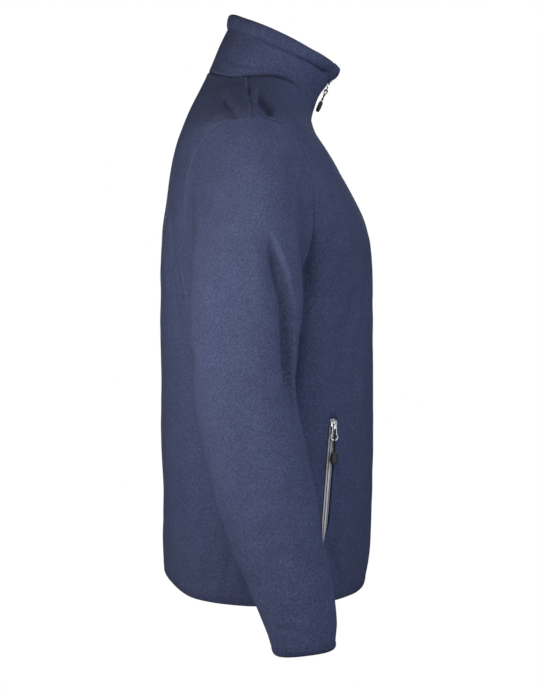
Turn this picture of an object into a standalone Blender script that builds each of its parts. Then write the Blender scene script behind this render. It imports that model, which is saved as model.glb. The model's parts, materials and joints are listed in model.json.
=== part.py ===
"""Fleece zip jacket, standing open as if worn, with nobody in it. Metres, +Z up.

The wearer faces -Y and their left side is +X. The origin lies midway between the two
side-neck points, where the shoulders carry the jacket. Each cloth piece is a wall whose
outer face follows one of three surfaces: the torso's rings, the collar's rings or the
sleeve's tube. All three are worked out from the tables below, on the wearer's left, and
mirrored for the right.
"""

import math

import bmesh
import bpy
import numpy as np
from mathutils import Matrix, Vector

# Cloth and seams
WALL = 0.0022  # fleece
SEAM = 0.0003  # gap left between two sewn pieces
COLUMNS = 10  # cells of a panel's wall across a quarter of the body
SIDE_ROWS = 8  # cells up the side seam, the armhole and the shoulder seam
ARMHOLE_ROWS = 14
SHOULDER_ROWS = 4

# Torso: a row for each ring from the hem to the neckline. Heights and depths are given at the
# centre front, the side and the centre back. The powers round a ring's front and back halves:
# 2 is an ellipse. The dips say how late a ring leaves its side height on the way to the centre.
TORSO = np.array(
    [
        # z_front z_side  z_back   y_front  y_side   y_back  width  pow_f pow_b dip_f dip_b
        [-0.6715, -0.6745, -0.6595, -0.1525, -0.010, 0.1190, 0.187, 2.6, 2.05, 2.0, 2.0],
        [-0.6300, -0.6300, -0.6200, -0.1600, -0.010, 0.1210, 0.192, 2.6, 2.2, 2.0, 2.0],
        [-0.5600, -0.5600, -0.5550, -0.1632, -0.009, 0.1202, 0.193, 2.6, 2.3, 2.0, 2.0],
        [-0.4800, -0.4800, -0.4780, -0.1644, -0.008, 0.1230, 0.190, 2.6, 2.4, 2.0, 2.0],
        [-0.4000, -0.4000, -0.4000, -0.1644, -0.006, 0.1234, 0.187, 2.5, 2.4, 2.0, 2.0],
        [-0.3350, -0.3350, -0.3350, -0.1644, -0.004, 0.1238, 0.184, 2.5, 2.5, 2.0, 2.0],
        [-0.2850, -0.2850, -0.2850, -0.1644, -0.003, 0.1240, 0.183, 2.5, 2.5, 2.0, 2.0],
        [-0.2500, -0.2450, -0.2460, -0.1637, -0.003, 0.1238, 0.195, 2.4, 2.4, 2.0, 2.0],
        [-0.2120, -0.2000, -0.2050, -0.1603, -0.003, 0.1220, 0.213, 2.3, 2.3, 2.0, 2.0],
        [-0.1760, -0.1550, -0.1630, -0.1488, -0.003, 0.1165, 0.225, 2.2, 2.2, 2.0, 2.0],
        [-0.1400, -0.1080, -0.1200, -0.1300, -0.003, 0.1103, 0.227, 2.1, 2.1, 2.0, 2.0],
        [-0.1060, -0.0600, -0.0780, -0.1105, -0.003, 0.1017, 0.215, 2.1, 2.1, 2.0, 2.0],
        [-0.0760, -0.0285, -0.0340, -0.0908, 0.001, 0.0836, 0.148, 2.1, 2.1, 2.5, 2.2],
        [-0.0500, 0.0045, 0.0172, -0.0800, 0.005, 0.0592, 0.075, 2.2, 2.2, 4.6, 3.0],
    ]
)
# Collar: its neckline row is the torso's last. The last two rows bound the rolled top edge.
COLLAR = np.array(
    [
        TORSO[-1],
        [-0.0180, 0.0260, 0.0470, -0.0877, -0.014, 0.0470, 0.071, 2.2, 2.2, 2.0, 1.6],
        [0.0124, 0.0448, 0.0765, -0.1065, -0.037, 0.0335, 0.067, 2.1, 2.1, 1.0, 1.0],
        [0.0245, 0.0612, 0.0965, -0.1190, -0.046, 0.0295, 0.066, 2.1, 2.1, 1.0, 1.0],
    ]
)
NECK_RISE = 0.03  # about how far apart the rings lie on either side of the neckline
COLLAR_ROWS = 4
ZIP_COLLAR_ROWS = 8
RIM = 2 / 3  # where the rolled edge starts, as a part of the collar's table
ROLL_HALF_THICKNESS = 0.0043
ROLL_NOSE = 0.0045  # how much further the roll stands out at its two front ends
NOSE_FROM = 0.024  # distance from the centre front where the nose begins
NOSE_FULL = 0.010
NOSE_DROP = 0.105  # how far down the collar's table the nose reaches
ROLL_SIDES = 10

# Armhole: a rounded loop seen from the side, cut in the torso's surface
ARMHOLE_Y = -0.003
ARMHOLE_Z = -0.1725
ARMHOLE_HALF_HEIGHT = 0.1125
ARMHOLE_FRONT = 0.077
ARMHOLE_BACK = 0.086
ARMHOLE_POWER = 2.4

# Sleeve: a row for each ring from the upper arm to the cuff's lower edge. Pitch and roll are
# slopes: the front or the outer side of a ring stands higher by that much.
SLEEVE = np.array(
    [
        # z      x      y_back   y_front  half_x  pitch roll  power
        [-0.300, 0.252, 0.0727, -0.0650, 0.0560, 0.00, 0.30, 2.2],
        [-0.363, 0.262, 0.0702, -0.0570, 0.0560, 0.00, 0.16, 2.2],
        [-0.405, 0.269, 0.0671, -0.0570, 0.0560, 0.02, 0.12, 2.2],
        [-0.459, 0.277, 0.0560, -0.0670, 0.0550, 0.04, 0.12, 2.2],
        [-0.520, 0.286, 0.0411, -0.0800, 0.0530, 0.05, 0.12, 2.2],
        [-0.573, 0.294, 0.0224, -0.0901, 0.0480, 0.05, 0.12, 2.2],
        [-0.628, 0.302, -0.0006, -0.0997, 0.0420, 0.05, 0.10, 2.2],
        [-0.668, 0.307, -0.0180, -0.1040, 0.0370, 0.06, 0.05, 2.3],
        [-0.700, 0.310, -0.0290, -0.1020, 0.0330, 0.07, 0.02, 2.3],
    ]
)
SLEEVE_COLUMNS = 2 * ARMHOLE_ROWS
CAP_ROWS = 8
TUBE_ROWS = 16
CAP = CAP_ROWS / (CAP_ROWS + TUBE_ROWS)
CAP_START_PULL = 0.9  # how far the cloth runs on past the armhole before it turns down
CAP_END_PULL = 0.8

# Bindings on the hem and the cuffs
BINDING = 0.009
BINDING_HALF_THICKNESS = 0.0018
BINDING_SIDES = 6

# Front zip, from the hem to the collar's top
ZIP_GAP = 0.0055  # half the width that the two fronts leave open
CHAIN_HALF = 0.0029
CHAIN_FRONT = 0.0008  # depth of the chain's front below the cloth's face
CHAIN_THICKNESS = 0.0024
TAPE_INNER = 0.0032
TAPE_OUTER = 0.0130
TAPE_THICKNESS = 0.0010
TAPE_TOP = 0.54  # where the tape's covered margin ends, as a part of the collar's table
ZIP_TOP = 0.94

# Pocket zips, given by the y and z of their two ends
POCKET_TOP = (-0.1053, -0.4400)
POCKET_FOOT = (-0.0922, -0.5990)
POCKET_HALF_WIDTH = 0.0052
POCKET_ROWS = 10
POCKET_SINK = 0.0004  # depth of the zip's face below the cloth's
POCKET_THICKNESS = 0.0016
POCKET_HINGE = (-0.1046, -0.4506)
POCKET_TURN = 18  # degrees that the slider is turned outwards, about the zip's line
POCKET_LIFT = 0.0012  # which keeps the turned plate's edge off the zip
POCKET_LEAN = 0.45  # how far the pull hangs along the zip's line (1) instead of straight down (0)

# Sliders and pulls. A slider's own frame has x across the zip, y up it and z off the cloth,
# with its origin on the zip's face below the pull's hinge.
SLIDER_SEAT = 0.0006
PLATE_THICKNESS = 0.0024
PLATE_TOP_HALF = 0.0046
PLATE_FOOT_HALF = 0.0034
PLATE_UP = 0.0085
PLATE_DOWN = 0.0032
BRIDGE_HALF = 0.0012
BRIDGE_WALL = 0.0011
WIRE = 0.00115  # radius of the pull's loop
PLAY = 0.00035
HINGE_HEIGHT = SLIDER_SEAT + PLATE_THICKNESS + PLAY + WIRE
LEG_X = 0.00275
FLARE_X = 0.0045
LOOP_LENGTH = 0.0175
CORD = 0.00075  # radius
KNOB = (0.0047, 0.0080, 0.0030)  # half sizes
KNOB_TOP = 0.0310
SLIDER_LIFT = 0.0003  # extra room for the front slider, because the collar is hollow there
FRONT_HINGE_Z = 0.0095  # height of the cloth below the front pull's hinge
FRONT_PULL = (0.0, 0.395, -0.9185)  # the way the front pull hangs off the collar

# Folds: soft ridges (height above 0) and troughs in the cloth's face. Each runs along a curve
# from its first point to its third, drawn towards its second. A point is an angle in degrees
# and a height in metres. Side 1 is the wearer's left and -1 their right.
TORSO_RADIUS = 0.16
TORSO_FOLDS = np.array(
    [
        # side  a1     z1      a2     z2      a3     z3     width  height
        [-1.0, 52.0, -0.262, 49.0, -0.345, 40.0, -0.418, 0.015, -0.0028],
        [-1.0, 61.0, -0.300, 57.0, -0.390, 54.0, -0.470, 0.018, 0.0024],
        [1.0, 50.0, -0.275, 47.0, -0.350, 42.0, -0.410, 0.016, -0.0030],
        [1.0, 62.0, -0.320, 58.0, -0.400, 56.0, -0.500, 0.019, 0.0022],
        [-1.0, -42.0, -0.205, -36.0, -0.270, -30.0, -0.330, 0.012, -0.0035],
        [-1.0, -52.0, -0.235, -48.0, -0.290, -45.0, -0.350, 0.014, -0.0024],
        [1.0, -40.0, -0.200, -38.0, -0.265, -28.0, -0.345, 0.012, -0.0032],
        [1.0, -55.0, -0.250, -50.0, -0.310, -44.0, -0.365, 0.015, -0.0026],
        [-1.0, 22.0, -0.560, 26.0, -0.610, 24.0, -0.655, 0.010, -0.0022],
        [1.0, 30.0, -0.575, 26.0, -0.620, 28.0, -0.655, 0.011, -0.0020],
        [-1.0, -25.0, -0.575, -30.0, -0.615, -27.0, -0.655, 0.012, -0.0026],
        [1.0, -33.0, -0.565, -29.0, -0.610, -32.0, -0.655, 0.013, -0.0022],
    ]
)
SLEEVE_RADIUS = 0.062
SLEEVE_FOLDS = np.array(
    [
        [-1.0, 16.0, -0.195, 46.0, -0.290, 68.0, -0.392, 0.011, 0.0036],
        [-1.0, 22.0, -0.240, 36.0, -0.305, 54.0, -0.372, 0.010, -0.0042],
        [-1.0, 60.0, -0.375, 62.0, -0.400, 70.0, -0.430, 0.012, -0.0030],
        [-1.0, -150.0, -0.330, -95.0, -0.360, -60.0, -0.365, 0.014, -0.0030],
        [-1.0, 75.0, -0.590, 35.0, -0.600, 10.0, -0.585, 0.016, -0.0020],
        [1.0, 14.0, -0.200, 44.0, -0.285, 64.0, -0.380, 0.012, 0.0034],
        [1.0, 24.0, -0.235, 38.0, -0.300, 52.0, -0.385, 0.011, -0.0040],
        [1.0, 62.0, -0.380, 66.0, -0.405, 76.0, -0.425, 0.013, -0.0028],
        [1.0, -150.0, -0.335, -100.0, -0.350, -65.0, -0.370, 0.014, -0.0030],
        [1.0, 70.0, -0.575, 40.0, -0.590, 12.0, -0.580, 0.015, -0.0022],
    ]
)

FLEECE = (0.045, 0.058, 0.125)
FLEECE_DARK = (0.030, 0.038, 0.085)
SILVER = (0.62, 0.62, 0.64)
BLACK = (0.012, 0.012, 0.013)

CENTRE_BACK = -math.pi / 2


def table_at(rows, t):
    """Every column at t, 0 on the first row and 1 on the last, along Catmull-Rom curves."""
    padded = np.vstack([2 * rows[0] - rows[1], rows, 2 * rows[-1] - rows[-2]])
    place = np.clip(t, 0.0, 1.0) * (len(rows) - 1)
    first = np.clip(np.floor(place).astype(int), 0, len(rows) - 2)
    f = (place - first)[:, None]
    a, b, c, d = (padded[first + k] for k in range(4))
    return b + 0.5 * f * (c - a + f * (2 * a - 5 * b + 4 * c - d + f * (3 * (b - c) + d - a)))


def unit(vectors):
    return vectors / np.linalg.norm(vectors, axis=1)[:, None]


def round_off(across, forward, power):
    """Distance to a superellipse of this power along a direction. Power 2 is a circle."""
    return (np.abs(across) ** power + np.abs(forward) ** power) ** (-1 / power)


def ring(rows, angle):
    """Points on the left half of rings. Angle 0 is the side, 90 degrees the centre front."""
    z_front, z_side, z_back, y_front, y_side, y_back, width, power_f, power_b, dip_f, dip_b = rows.T
    across, forward = np.cos(angle), np.sin(angle)
    front = forward > 0
    size = round_off(across, forward, np.where(front, power_f, power_b))
    reach = size * np.abs(forward)
    depth = np.where(front, y_front, y_back) - y_side
    rise = np.where(front, z_front, z_back) - z_side
    z = z_side + rise * reach ** np.where(front, dip_f, dip_b)
    return np.stack([width * size * across, y_side + depth * reach, z], axis=1)


def skin(table, t, angle):
    """Points and outward normals of the torso's or the collar's surface."""
    t, angle = np.broadcast_arrays(np.atleast_1d(t).astype(float), angle)
    step = 1e-4
    up = ring(table_at(table, t + step), angle) - ring(table_at(table, t - step), angle)
    row = table_at(table, t)
    round_ = ring(row, angle + step) - ring(row, angle - step)
    return ring(row, angle), unit(np.cross(up, round_))


def angle_at_x(table, t, x):
    """The angle near the centre front where a ring is x away from the middle."""
    row = table_at(table, np.atleast_1d(t))
    width, power = row[:, 6], row[:, 7]
    across = x / width
    return np.arctan2((1 - across**power) ** (1 / power), across)


def torso_at(y, z):
    """Row and angle where the torso's surface has this y and this z."""
    y, z = np.broadcast_arrays(np.atleast_1d(y).astype(float), z)
    low, high = np.zeros(len(y)), np.ones(len(y))
    for _ in range(40):
        t = (low + high) / 2
        row = table_at(TORSO, t).T
        z_front, z_side, z_back, y_front, y_side, y_back, _width, power_f, power_b, dip_f, dip_b = row
        front = y < y_side
        depth = np.where(front, y_front, y_back) - y_side
        reach = np.clip((y - y_side) / depth, 0.0, 1.0)
        rise = np.where(front, z_front, z_back) - z_side
        height = z_side + rise * reach ** np.where(front, dip_f, dip_b)
        low, high = np.where(height < z, t, low), np.where(height < z, high, t)
    power = np.where(front, power_f, power_b)
    across = (1 - reach**power) ** (1 / power)
    return t, np.arctan2(np.where(front, reach, -reach), across)


def row_at_height(z):
    """The torso's row whose side lies at this height."""
    return float(np.interp(z, table_at(TORSO, np.linspace(0, 1, 1301))[:, 1], np.linspace(0, 1, 1301)))


def armhole(turn, grow):
    """Row and angle on the armhole's edge. Turn is 0 at the shoulder and 90 degrees in front."""
    size = round_off(np.cos(turn), np.sin(turn), ARMHOLE_POWER)
    depth = np.where(np.sin(turn) > 0, ARMHOLE_FRONT, ARMHOLE_BACK) + grow
    y = ARMHOLE_Y - depth * size * np.sin(turn)
    z = ARMHOLE_Z + (ARMHOLE_HALF_HEIGHT + grow) * size * np.cos(turn)
    return torso_at(y, z)


HEM_ROW = row_at_height(TORSO[0, 1] + BINDING + SEAM)
ARMPIT_ROW = float(armhole(np.array([math.pi]), SEAM / 2)[0][0])
TIP_ROW = float(armhole(np.array([0.0]), SEAM / 2)[0][0])
PANEL_ROWS = SIDE_ROWS + ARMHOLE_ROWS + SHOULDER_ROWS
NECK_ROW = 1 - SEAM / 2 / NECK_RISE / (len(TORSO) - 1)


def panel_edge(v, front):
    """Row and edge angle of a front or back panel, from the hem (v = 0) to the neck (v = 1)."""
    cell = v * PANEL_ROWS
    side = np.clip(cell / SIDE_ROWS, 0, 1)
    hole = np.clip((cell - SIDE_ROWS) / ARMHOLE_ROWS, 0, 1)
    shoulder = np.clip((cell - SIDE_ROWS - ARMHOLE_ROWS) / SHOULDER_ROWS, 0, 1)
    turn = math.pi * (1 - hole)
    row_hole, edge = armhole(turn if front else -turn, SEAM / 2)
    t = np.where(hole > 0, row_hole, HEM_ROW + side * (ARMPIT_ROW - HEM_ROW))
    t = np.where(shoulder > 0, TIP_ROW + shoulder * (NECK_ROW - TIP_ROW), t)
    straight = (hole <= 0) | (shoulder > 0)
    edge = np.where(straight, 0.0, np.abs(edge))
    gap = SEAM / 2 / table_at(TORSO, t)[:, 6]
    return t, np.maximum(edge, 1.5 * gap)


def fold_height(folds, side, angle, z, radius):
    """How far the folds of one side raise the cloth at an angle and a height."""
    total = np.zeros(len(angle))
    here = np.stack([radius * angle, z], axis=1)
    for fold_side, a1, z1, a2, z2, a3, z3, width, height in folds:
        first, pull, last = (
            np.array([radius * math.radians(a), h]) for a, h in ((a1, z1), (a2, z2), (a3, z3))
        )
        nearest, along = np.full(len(angle), np.inf), np.zeros(len(angle))
        for k in np.linspace(0, 1, 13):
            spot = (1 - k) ** 2 * first + 2 * k * (1 - k) * pull + k * k * last
            distance = np.linalg.norm(here - spot, axis=1)
            along = np.where(distance < nearest, k, along)
            nearest = np.minimum(nearest, distance)
        fade = np.clip(4 * along + 0.2, 0, 1) * np.clip(4 * (1 - along) + 0.2, 0, 1)
        total += np.where(side == fold_side, height * fade * np.exp(-((nearest / width) ** 2)), 0)
    return total


def folded_torso(t, angle, side):
    """The torso's surface with its folds, on either side of the body."""
    points, normals = skin(TORSO, t, angle)
    rise = fold_height(TORSO_FOLDS, side, angle, points[:, 2], TORSO_RADIUS)
    points = points + normals * rise[:, None]
    mirror = np.stack([side, np.ones(len(angle)), np.ones(len(angle))], axis=1)
    return points * mirror, normals * mirror


def place_front(side):
    """u runs from the zip (0) to the side, armhole and shoulder (1)."""

    def place(u, v):
        t, edge = panel_edge(v, True)
        start = angle_at_x(TORSO, t, ZIP_GAP)
        return folded_torso(t, start + u * (edge - start), np.full(len(u), side))

    return place


def place_back(u, v):
    """u runs from the right side (0) over the centre back to the left side (1)."""
    t, edge = panel_edge(v, False)
    across = 2 * u - 1
    angle = CENTRE_BACK + np.abs(across) * (-edge - CENTRE_BACK)
    return folded_torso(t, angle, np.where(across < 0, -1.0, 1.0))


def round_neck(u, table, t, gap):
    """Angle and mirror sign for u from the right front edge (0) round the back to the left (1)."""
    across = 2 * u - 1
    behind = np.clip(2 * np.abs(across), 0, 1)
    before = np.clip(2 * np.abs(across) - 1, 0, 1)
    angle = CENTRE_BACK * (1 - behind) + before * angle_at_x(table, t, gap)
    return angle, np.where(across < 0, -1.0, 1.0)


def rim(u):
    """Where the rolled edge starts: lower at the front ends, where it turns down the zip."""
    angle, _mirror = round_neck(u, COLLAR, np.full(len(u), RIM), ZIP_GAP)
    x = ring(table_at(COLLAR, np.full(len(u), RIM)), angle)[:, 0]
    near = np.where(angle > 0, np.clip((NOSE_FROM - x) / (NOSE_FROM - NOSE_FULL), 0, 1), 0)
    near = near * near * (3 - 2 * near)
    return RIM - NOSE_DROP * near, near


def place_collar(u, v):
    bottom = SEAM / 2 / NECK_RISE / (len(COLLAR) - 1)
    t = bottom + v * (rim(u)[0] - 0.004 - bottom)
    angle, mirror = round_neck(u, COLLAR, t, ZIP_GAP)
    points, normals = skin(COLLAR, t, angle)
    points[:, 0] *= mirror
    normals[:, 0] *= mirror
    return points, normals


def place_roll(u, v):
    """v goes once round the roll's section, which lies along the collar's top edge."""
    section = 2 * math.pi * v
    end = 1 - np.abs(2 * u - 1)
    shrink = np.where(end < 1e-6, 0.8, 1.0)
    foot, nose = rim(u)
    t = (1 + foot) / 2 + (1 - foot) / 2 * 0.98 * shrink * np.cos(section)
    angle, mirror = round_neck(u, COLLAR, t, ZIP_GAP)
    points, normals = skin(COLLAR, t, angle)
    out = 0.5 * ROLL_NOSE * nose - 0.0006
    out = out + (ROLL_HALF_THICKNESS + 0.5 * ROLL_NOSE * nose) * shrink * np.sin(section)
    points = points + normals * out[:, None]
    points[:, 0] *= mirror
    return points, None


def place_hem_binding(u, v):
    along, out = rounded(2 * math.pi * v)
    t = HEM_ROW / 2 * (1 + 0.9 * along)
    angle, mirror = round_neck(u, TORSO, t, ZIP_GAP)
    points, normals = skin(TORSO, t, angle)
    points = points + normals * (BINDING_HALF_THICKNESS * out - WALL / 2)[:, None]
    points[:, 0] *= mirror
    return points, None


def tube(turn, q):
    """Points on the sleeve's rings, q from the upper arm (0) to the cuff's lower edge (1)."""
    z, x, y_back, y_front, half_x, pitch, roll, power = table_at(SLEEVE, q).T
    outward, forward = np.cos(turn), np.sin(turn)
    size = round_off(outward, forward, power)
    middle, half_y = (y_back + y_front) / 2, (y_back - y_front) / 2
    side = half_x * size * outward
    ahead = half_y * size * forward
    return np.stack([x + side, middle - ahead, z + roll * side + pitch * ahead], axis=1)


def sleeve_base(turn, s):
    """The sleeve's surface: the cap blends the armhole's edge into the tube below it."""
    step = 1e-4
    cap = np.clip(s / CAP, 0, 1)[:, None]
    q = np.clip((s - CAP) / (1 - CAP), 0, 1)
    start, normal = skin(TORSO, *armhole(turn, -SEAM / 2))
    ahead = skin(TORSO, *armhole(turn + step, -SEAM / 2))[0]
    into_hole = unit(np.cross(normal, ahead - start))
    top = tube(turn, np.zeros(len(turn)))
    down = unit(tube(turn, np.full(len(turn), step)) - top)
    span = np.linalg.norm(top - start, axis=1)[:, None]
    blend = cap * cap * (3 - 2 * cap)
    lead_in = cap * (1 - cap) ** 2 * CAP_START_PULL
    lead_out = cap * cap * (1 - cap) * CAP_END_PULL
    crown = start + blend * (top - start) + span * (lead_in * into_hole - lead_out * down)
    return np.where(s[:, None] > CAP, tube(turn, q), crown)


def sleeve_skin(turn, s):
    """Points and outward normals of the sleeve without its folds."""
    step = 1e-4
    round_ = sleeve_base(turn + step, s) - sleeve_base(turn - step, s)
    down = sleeve_base(turn, np.minimum(s + step, 1)) - sleeve_base(turn, np.maximum(s - step, 0))
    return sleeve_base(turn, s), unit(np.cross(round_, down))


def place_sleeve(side):
    """u goes round from the underarm seam by the back; v runs from the armhole to the cuff."""

    def place(u, v):
        turn = 2 * math.pi * u - math.pi
        s = v * sleeve_end()
        points, normals = sleeve_skin(turn, s)
        start = np.clip(8 * s, 0, 1)
        rise = start * fold_height(SLEEVE_FOLDS, side, turn, points[:, 2], SLEEVE_RADIUS)
        return points + normals * rise[:, None], normals

    return place


def sleeve_end():
    """How far down the sleeve's cloth ends, above its binding."""
    last = SLEEVE[-2, 0] - SLEEVE[-1, 0]
    return 1 - (1 - CAP) * (BINDING + SEAM) / last / (len(SLEEVE) - 1)


def rounded(section):
    """The two half sizes of a bar's section at an angle round it, with rounded corners."""
    along, out = np.cos(section), np.sin(section)
    return np.sign(along) * np.abs(along) ** 0.7, np.sign(out) * np.abs(out) ** 0.7


def place_cuff_binding(u, v):
    turn = 2 * math.pi * u - math.pi
    along, out = rounded(2 * math.pi * v)
    half = (1 - sleeve_end()) / 2
    points, normals = sleeve_skin(turn, 1 - half - half * 0.9 * along)
    return points + normals * (BINDING_HALF_THICKNESS * out - WALL / 2)[:, None], None


def zip_strip(inner, outer, top_outer, foot):
    """A strip beside the centre front, between two distances from it, up to the collar's top.

    foot is its lower end in the torso's table. Up where the collar is rolled, its outer edge
    is at top_outer instead.
    """

    def place(u, v):
        body = v * (PANEL_ROWS + ZIP_COLLAR_ROWS) / PANEL_ROWS
        panel = panel_edge(np.clip(body, 0, 1), True)[0]
        t = np.where(body <= 0, foot, np.where(body >= 1, 1.0, panel))
        neck = np.clip((body - 1) * PANEL_ROWS / ZIP_COLLAR_ROWS, 0, 1) * ZIP_TOP
        x = inner + u * (np.where(neck > TAPE_TOP, top_outer, outer) - inner)
        points, normals = skin(TORSO, t, angle_at_x(TORSO, t, np.abs(x)))
        above, above_normals = skin(COLLAR, neck, angle_at_x(COLLAR, neck, np.abs(x)))
        seam = np.isclose(body, 1)[:, None]
        mitre = 1 + np.sum(normals * above_normals, axis=1, keepdims=True)
        mitred = (normals + above_normals) / mitre
        high = (body > 1)[:, None]
        points, normals = np.where(high, above, points), np.where(high, above_normals, normals)
        normals = np.where(seam, mitred, normals)
        mirror = np.where(x < 0, -1.0, 1.0)
        points[:, 0] *= mirror
        normals[:, 0] *= mirror
        return points, normals

    return place


def pocket_strip(half_width, overrun):
    """A strip along the pocket's line. u crosses it and v runs from its top to its foot."""

    def place(u, v):
        along = v * (1 + 2 * overrun) - overrun
        y = POCKET_TOP[0] + along * (POCKET_FOOT[0] - POCKET_TOP[0])
        z = POCKET_TOP[1] + along * (POCKET_FOOT[1] - POCKET_TOP[1])
        t, angle = torso_at(y, z)
        row = table_at(TORSO, t)
        step = 1e-4
        per_radian = np.linalg.norm(ring(row, angle + step) - ring(row, angle), axis=1) / step
        return skin(TORSO, t, angle + (2 * u - 1) * half_width / per_radian)

    return place


def collection(name):
    made = bpy.data.collections.new(name)
    bpy.context.scene.collection.children.link(made)
    return made


def material(name, colour, roughness, metallic=0.0):
    made = bpy.data.materials.new(name)
    made.use_nodes = True
    shader = made.node_tree.nodes["Principled BSDF"]
    shader.inputs["Base Color"].default_value = (*colour, 1.0)
    shader.inputs["Roughness"].default_value = roughness
    shader.inputs["Metallic"].default_value = metallic
    return made


def finish(name, grid, finish_of, into):
    """A mesh object from a bmesh, with its own material."""
    bmesh.ops.recalc_face_normals(grid, faces=grid.faces)
    mesh = bpy.data.meshes.new(name)
    grid.to_mesh(mesh)
    grid.free()
    mesh.shade_smooth()
    mesh.set_sharp_from_angle(angle=math.radians(40))
    mesh.materials.append(material(name, *finish_of))
    made = bpy.data.objects.new(name, mesh)
    into.objects.link(made)
    return made


def flat_grid(columns, rows):
    """A grid whose vertices remember their u and v, from 0 to 1."""
    grid = bmesh.new()
    u_of = grid.verts.layers.float.new("u")
    v_of = grid.verts.layers.float.new("v")
    bmesh.ops.create_grid(grid, x_segments=columns, y_segments=rows, size=0.5)
    for vertex in grid.verts:
        vertex[u_of] = vertex.co.x + 0.5
        vertex[v_of] = vertex.co.y + 0.5
    return grid


def move(grid, vertices, place, depth, side):
    """Puts vertices at their u and v on a surface, some depth below it."""
    u_of, v_of = grid.verts.layers.float["u"], grid.verts.layers.float["v"]
    u = np.array([vertex[u_of] for vertex in vertices])
    v = np.array([vertex[v_of] for vertex in vertices])
    points, normals = place(u, v)
    if normals is not None:
        points = points - normals * depth
    points = points * (side, 1.0, 1.0)
    for vertex, point in zip(vertices, points):
        vertex.co = point


def wall(name, place, cells, depths, finish_of, into, side=1.0, closed=False):
    """A cloth wall: a grid moved onto its outer face and thickened to its inner one."""
    grid = flat_grid(*cells)
    move(grid, grid.verts[:], place, depths[0], side)
    if closed:
        bmesh.ops.remove_doubles(grid, verts=grid.verts[:], dist=1e-6)
    extruded = bmesh.ops.extrude_face_region(grid, geom=grid.faces[:], use_keep_orig=True)
    inner = [item for item in extruded["geom"] if isinstance(item, bmesh.types.BMVert)]
    move(grid, inner, place, depths[1], side)
    return finish(name, grid, finish_of, into)


def bar(name, place, cells, finish_of, into, side=1.0, closed=False):
    """A solid bar: a grid wrapped round its section, with its ends capped unless it is a loop."""
    grid = flat_grid(*cells)
    move(grid, grid.verts[:], place, 0.0, side)
    bmesh.ops.remove_doubles(grid, verts=grid.verts[:], dist=1e-6)
    if not closed:
        bmesh.ops.holes_fill(grid, edges=[edge for edge in grid.edges if edge.is_boundary])
    return finish(name, grid, finish_of, into)


def seat(point, normal, up):
    """A frame on the cloth with z along its normal and y as near to up as that allows."""
    z_axis = Vector(normal).normalized()
    y_axis = (Vector(up) - Vector(up).dot(z_axis) * z_axis).normalized()
    axes = Matrix((y_axis.cross(z_axis), y_axis, z_axis)).transposed().to_4x4()
    return Matrix.Translation(Vector(point)) @ axes


def slider(name, frame, finish_of, into, cutters):
    """A plate that narrows downwards, with a bridge over the pull's bar."""
    plate = bmesh.new()
    bmesh.ops.create_cube(plate, size=1.0)
    for vertex in plate.verts:
        half = PLATE_TOP_HALF if vertex.co.y > 0 else PLATE_FOOT_HALF
        vertex.co.x = math.copysign(half, vertex.co.x)
        vertex.co.y = PLATE_UP if vertex.co.y > 0 else -PLATE_DOWN
        vertex.co.z = SLIDER_SEAT + (PLATE_THICKNESS if vertex.co.z > 0 else 0.0)
    bmesh.ops.bevel(plate, geom=plate.edges[:], offset=0.0006, segments=2, affect="EDGES")
    made = finish(name, plate, finish_of, into)
    made.matrix_world = frame
    bridge = bmesh.new()
    low, hole_top = SLIDER_SEAT + PLATE_THICKNESS - 0.0005, HINGE_HEIGHT + WIRE + PLAY
    hole, front_foot, back_foot = WIRE + PLAY, -WIRE - PLAY - BRIDGE_WALL, 0.0062
    outline = [
        (front_foot, low),
        (-hole, low),
        (-hole, hole_top),
        (hole, hole_top),
        (hole, low),
        (back_foot, low),
        (0.0026, hole_top + BRIDGE_WALL),
        (front_foot + 0.0006, hole_top + BRIDGE_WALL),
        (front_foot, hole_top + BRIDGE_WALL - 0.0008),
    ]
    face = bridge.faces.new([bridge.verts.new((-BRIDGE_HALF, y, z)) for y, z in outline])
    pushed = bmesh.ops.extrude_face_region(bridge, geom=[face], use_keep_orig=True)
    moved = [item for item in pushed["geom"] if isinstance(item, bmesh.types.BMVert)]
    bmesh.ops.translate(bridge, verts=moved, vec=(2 * BRIDGE_HALF, 0, 0))
    arch = finish(name + "_bridge", bridge, finish_of, cutters)
    arch.matrix_world = frame
    hide(arch)
    join = made.modifiers.new("bridge", "BOOLEAN")
    join.operation = "UNION"
    join.object = arch
    return made


def hide(helper):
    helper.hide_render = True
    helper.display_type = "WIRE"


def wire(name, points, radius, finish_of, into, parent):
    """A closed loop of wire or cord through points in its parent's frame."""
    curve = bpy.data.curves.new(name, "CURVE")
    curve.dimensions = "3D"
    curve.bevel_depth = radius
    curve.bevel_resolution = 2
    line = curve.splines.new("POLY")
    line.points.add(len(points) - 1)
    for spot, point in zip(line.points, points):
        spot.co = (*point, 1.0)
    line.use_cyclic_u = True
    curve.materials.append(material(name, *finish_of))
    made = bpy.data.objects.new(name, curve)
    made.parent = parent
    into.objects.link(made)
    return made


def loop_points():
    """The pull's loop: a bar through the bridge, two legs, a flare and a rounded foot."""
    foot = -LOOP_LENGTH + WIRE
    flare = foot + FLARE_X - 0.0005
    corner = 0.0013
    half = [(LEG_X - corner, 0.0), (LEG_X - 0.3 * corner, -0.3 * corner), (LEG_X, -corner)]
    half += [(LEG_X, flare + 0.0048), (LEG_X + 0.0005, flare + 0.0034)]
    for degrees in (22, -2, -26, -50, -74):
        turn = math.radians(degrees)
        x = 0.0005 + (FLARE_X - 0.0005) * math.cos(turn)
        half.append((x, flare + (flare - foot) * math.sin(turn)))
    mirrored = [(-x, y) for x, y in reversed(half)]
    return [(x, y, 0.0) for x, y in half + mirrored]


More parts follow.
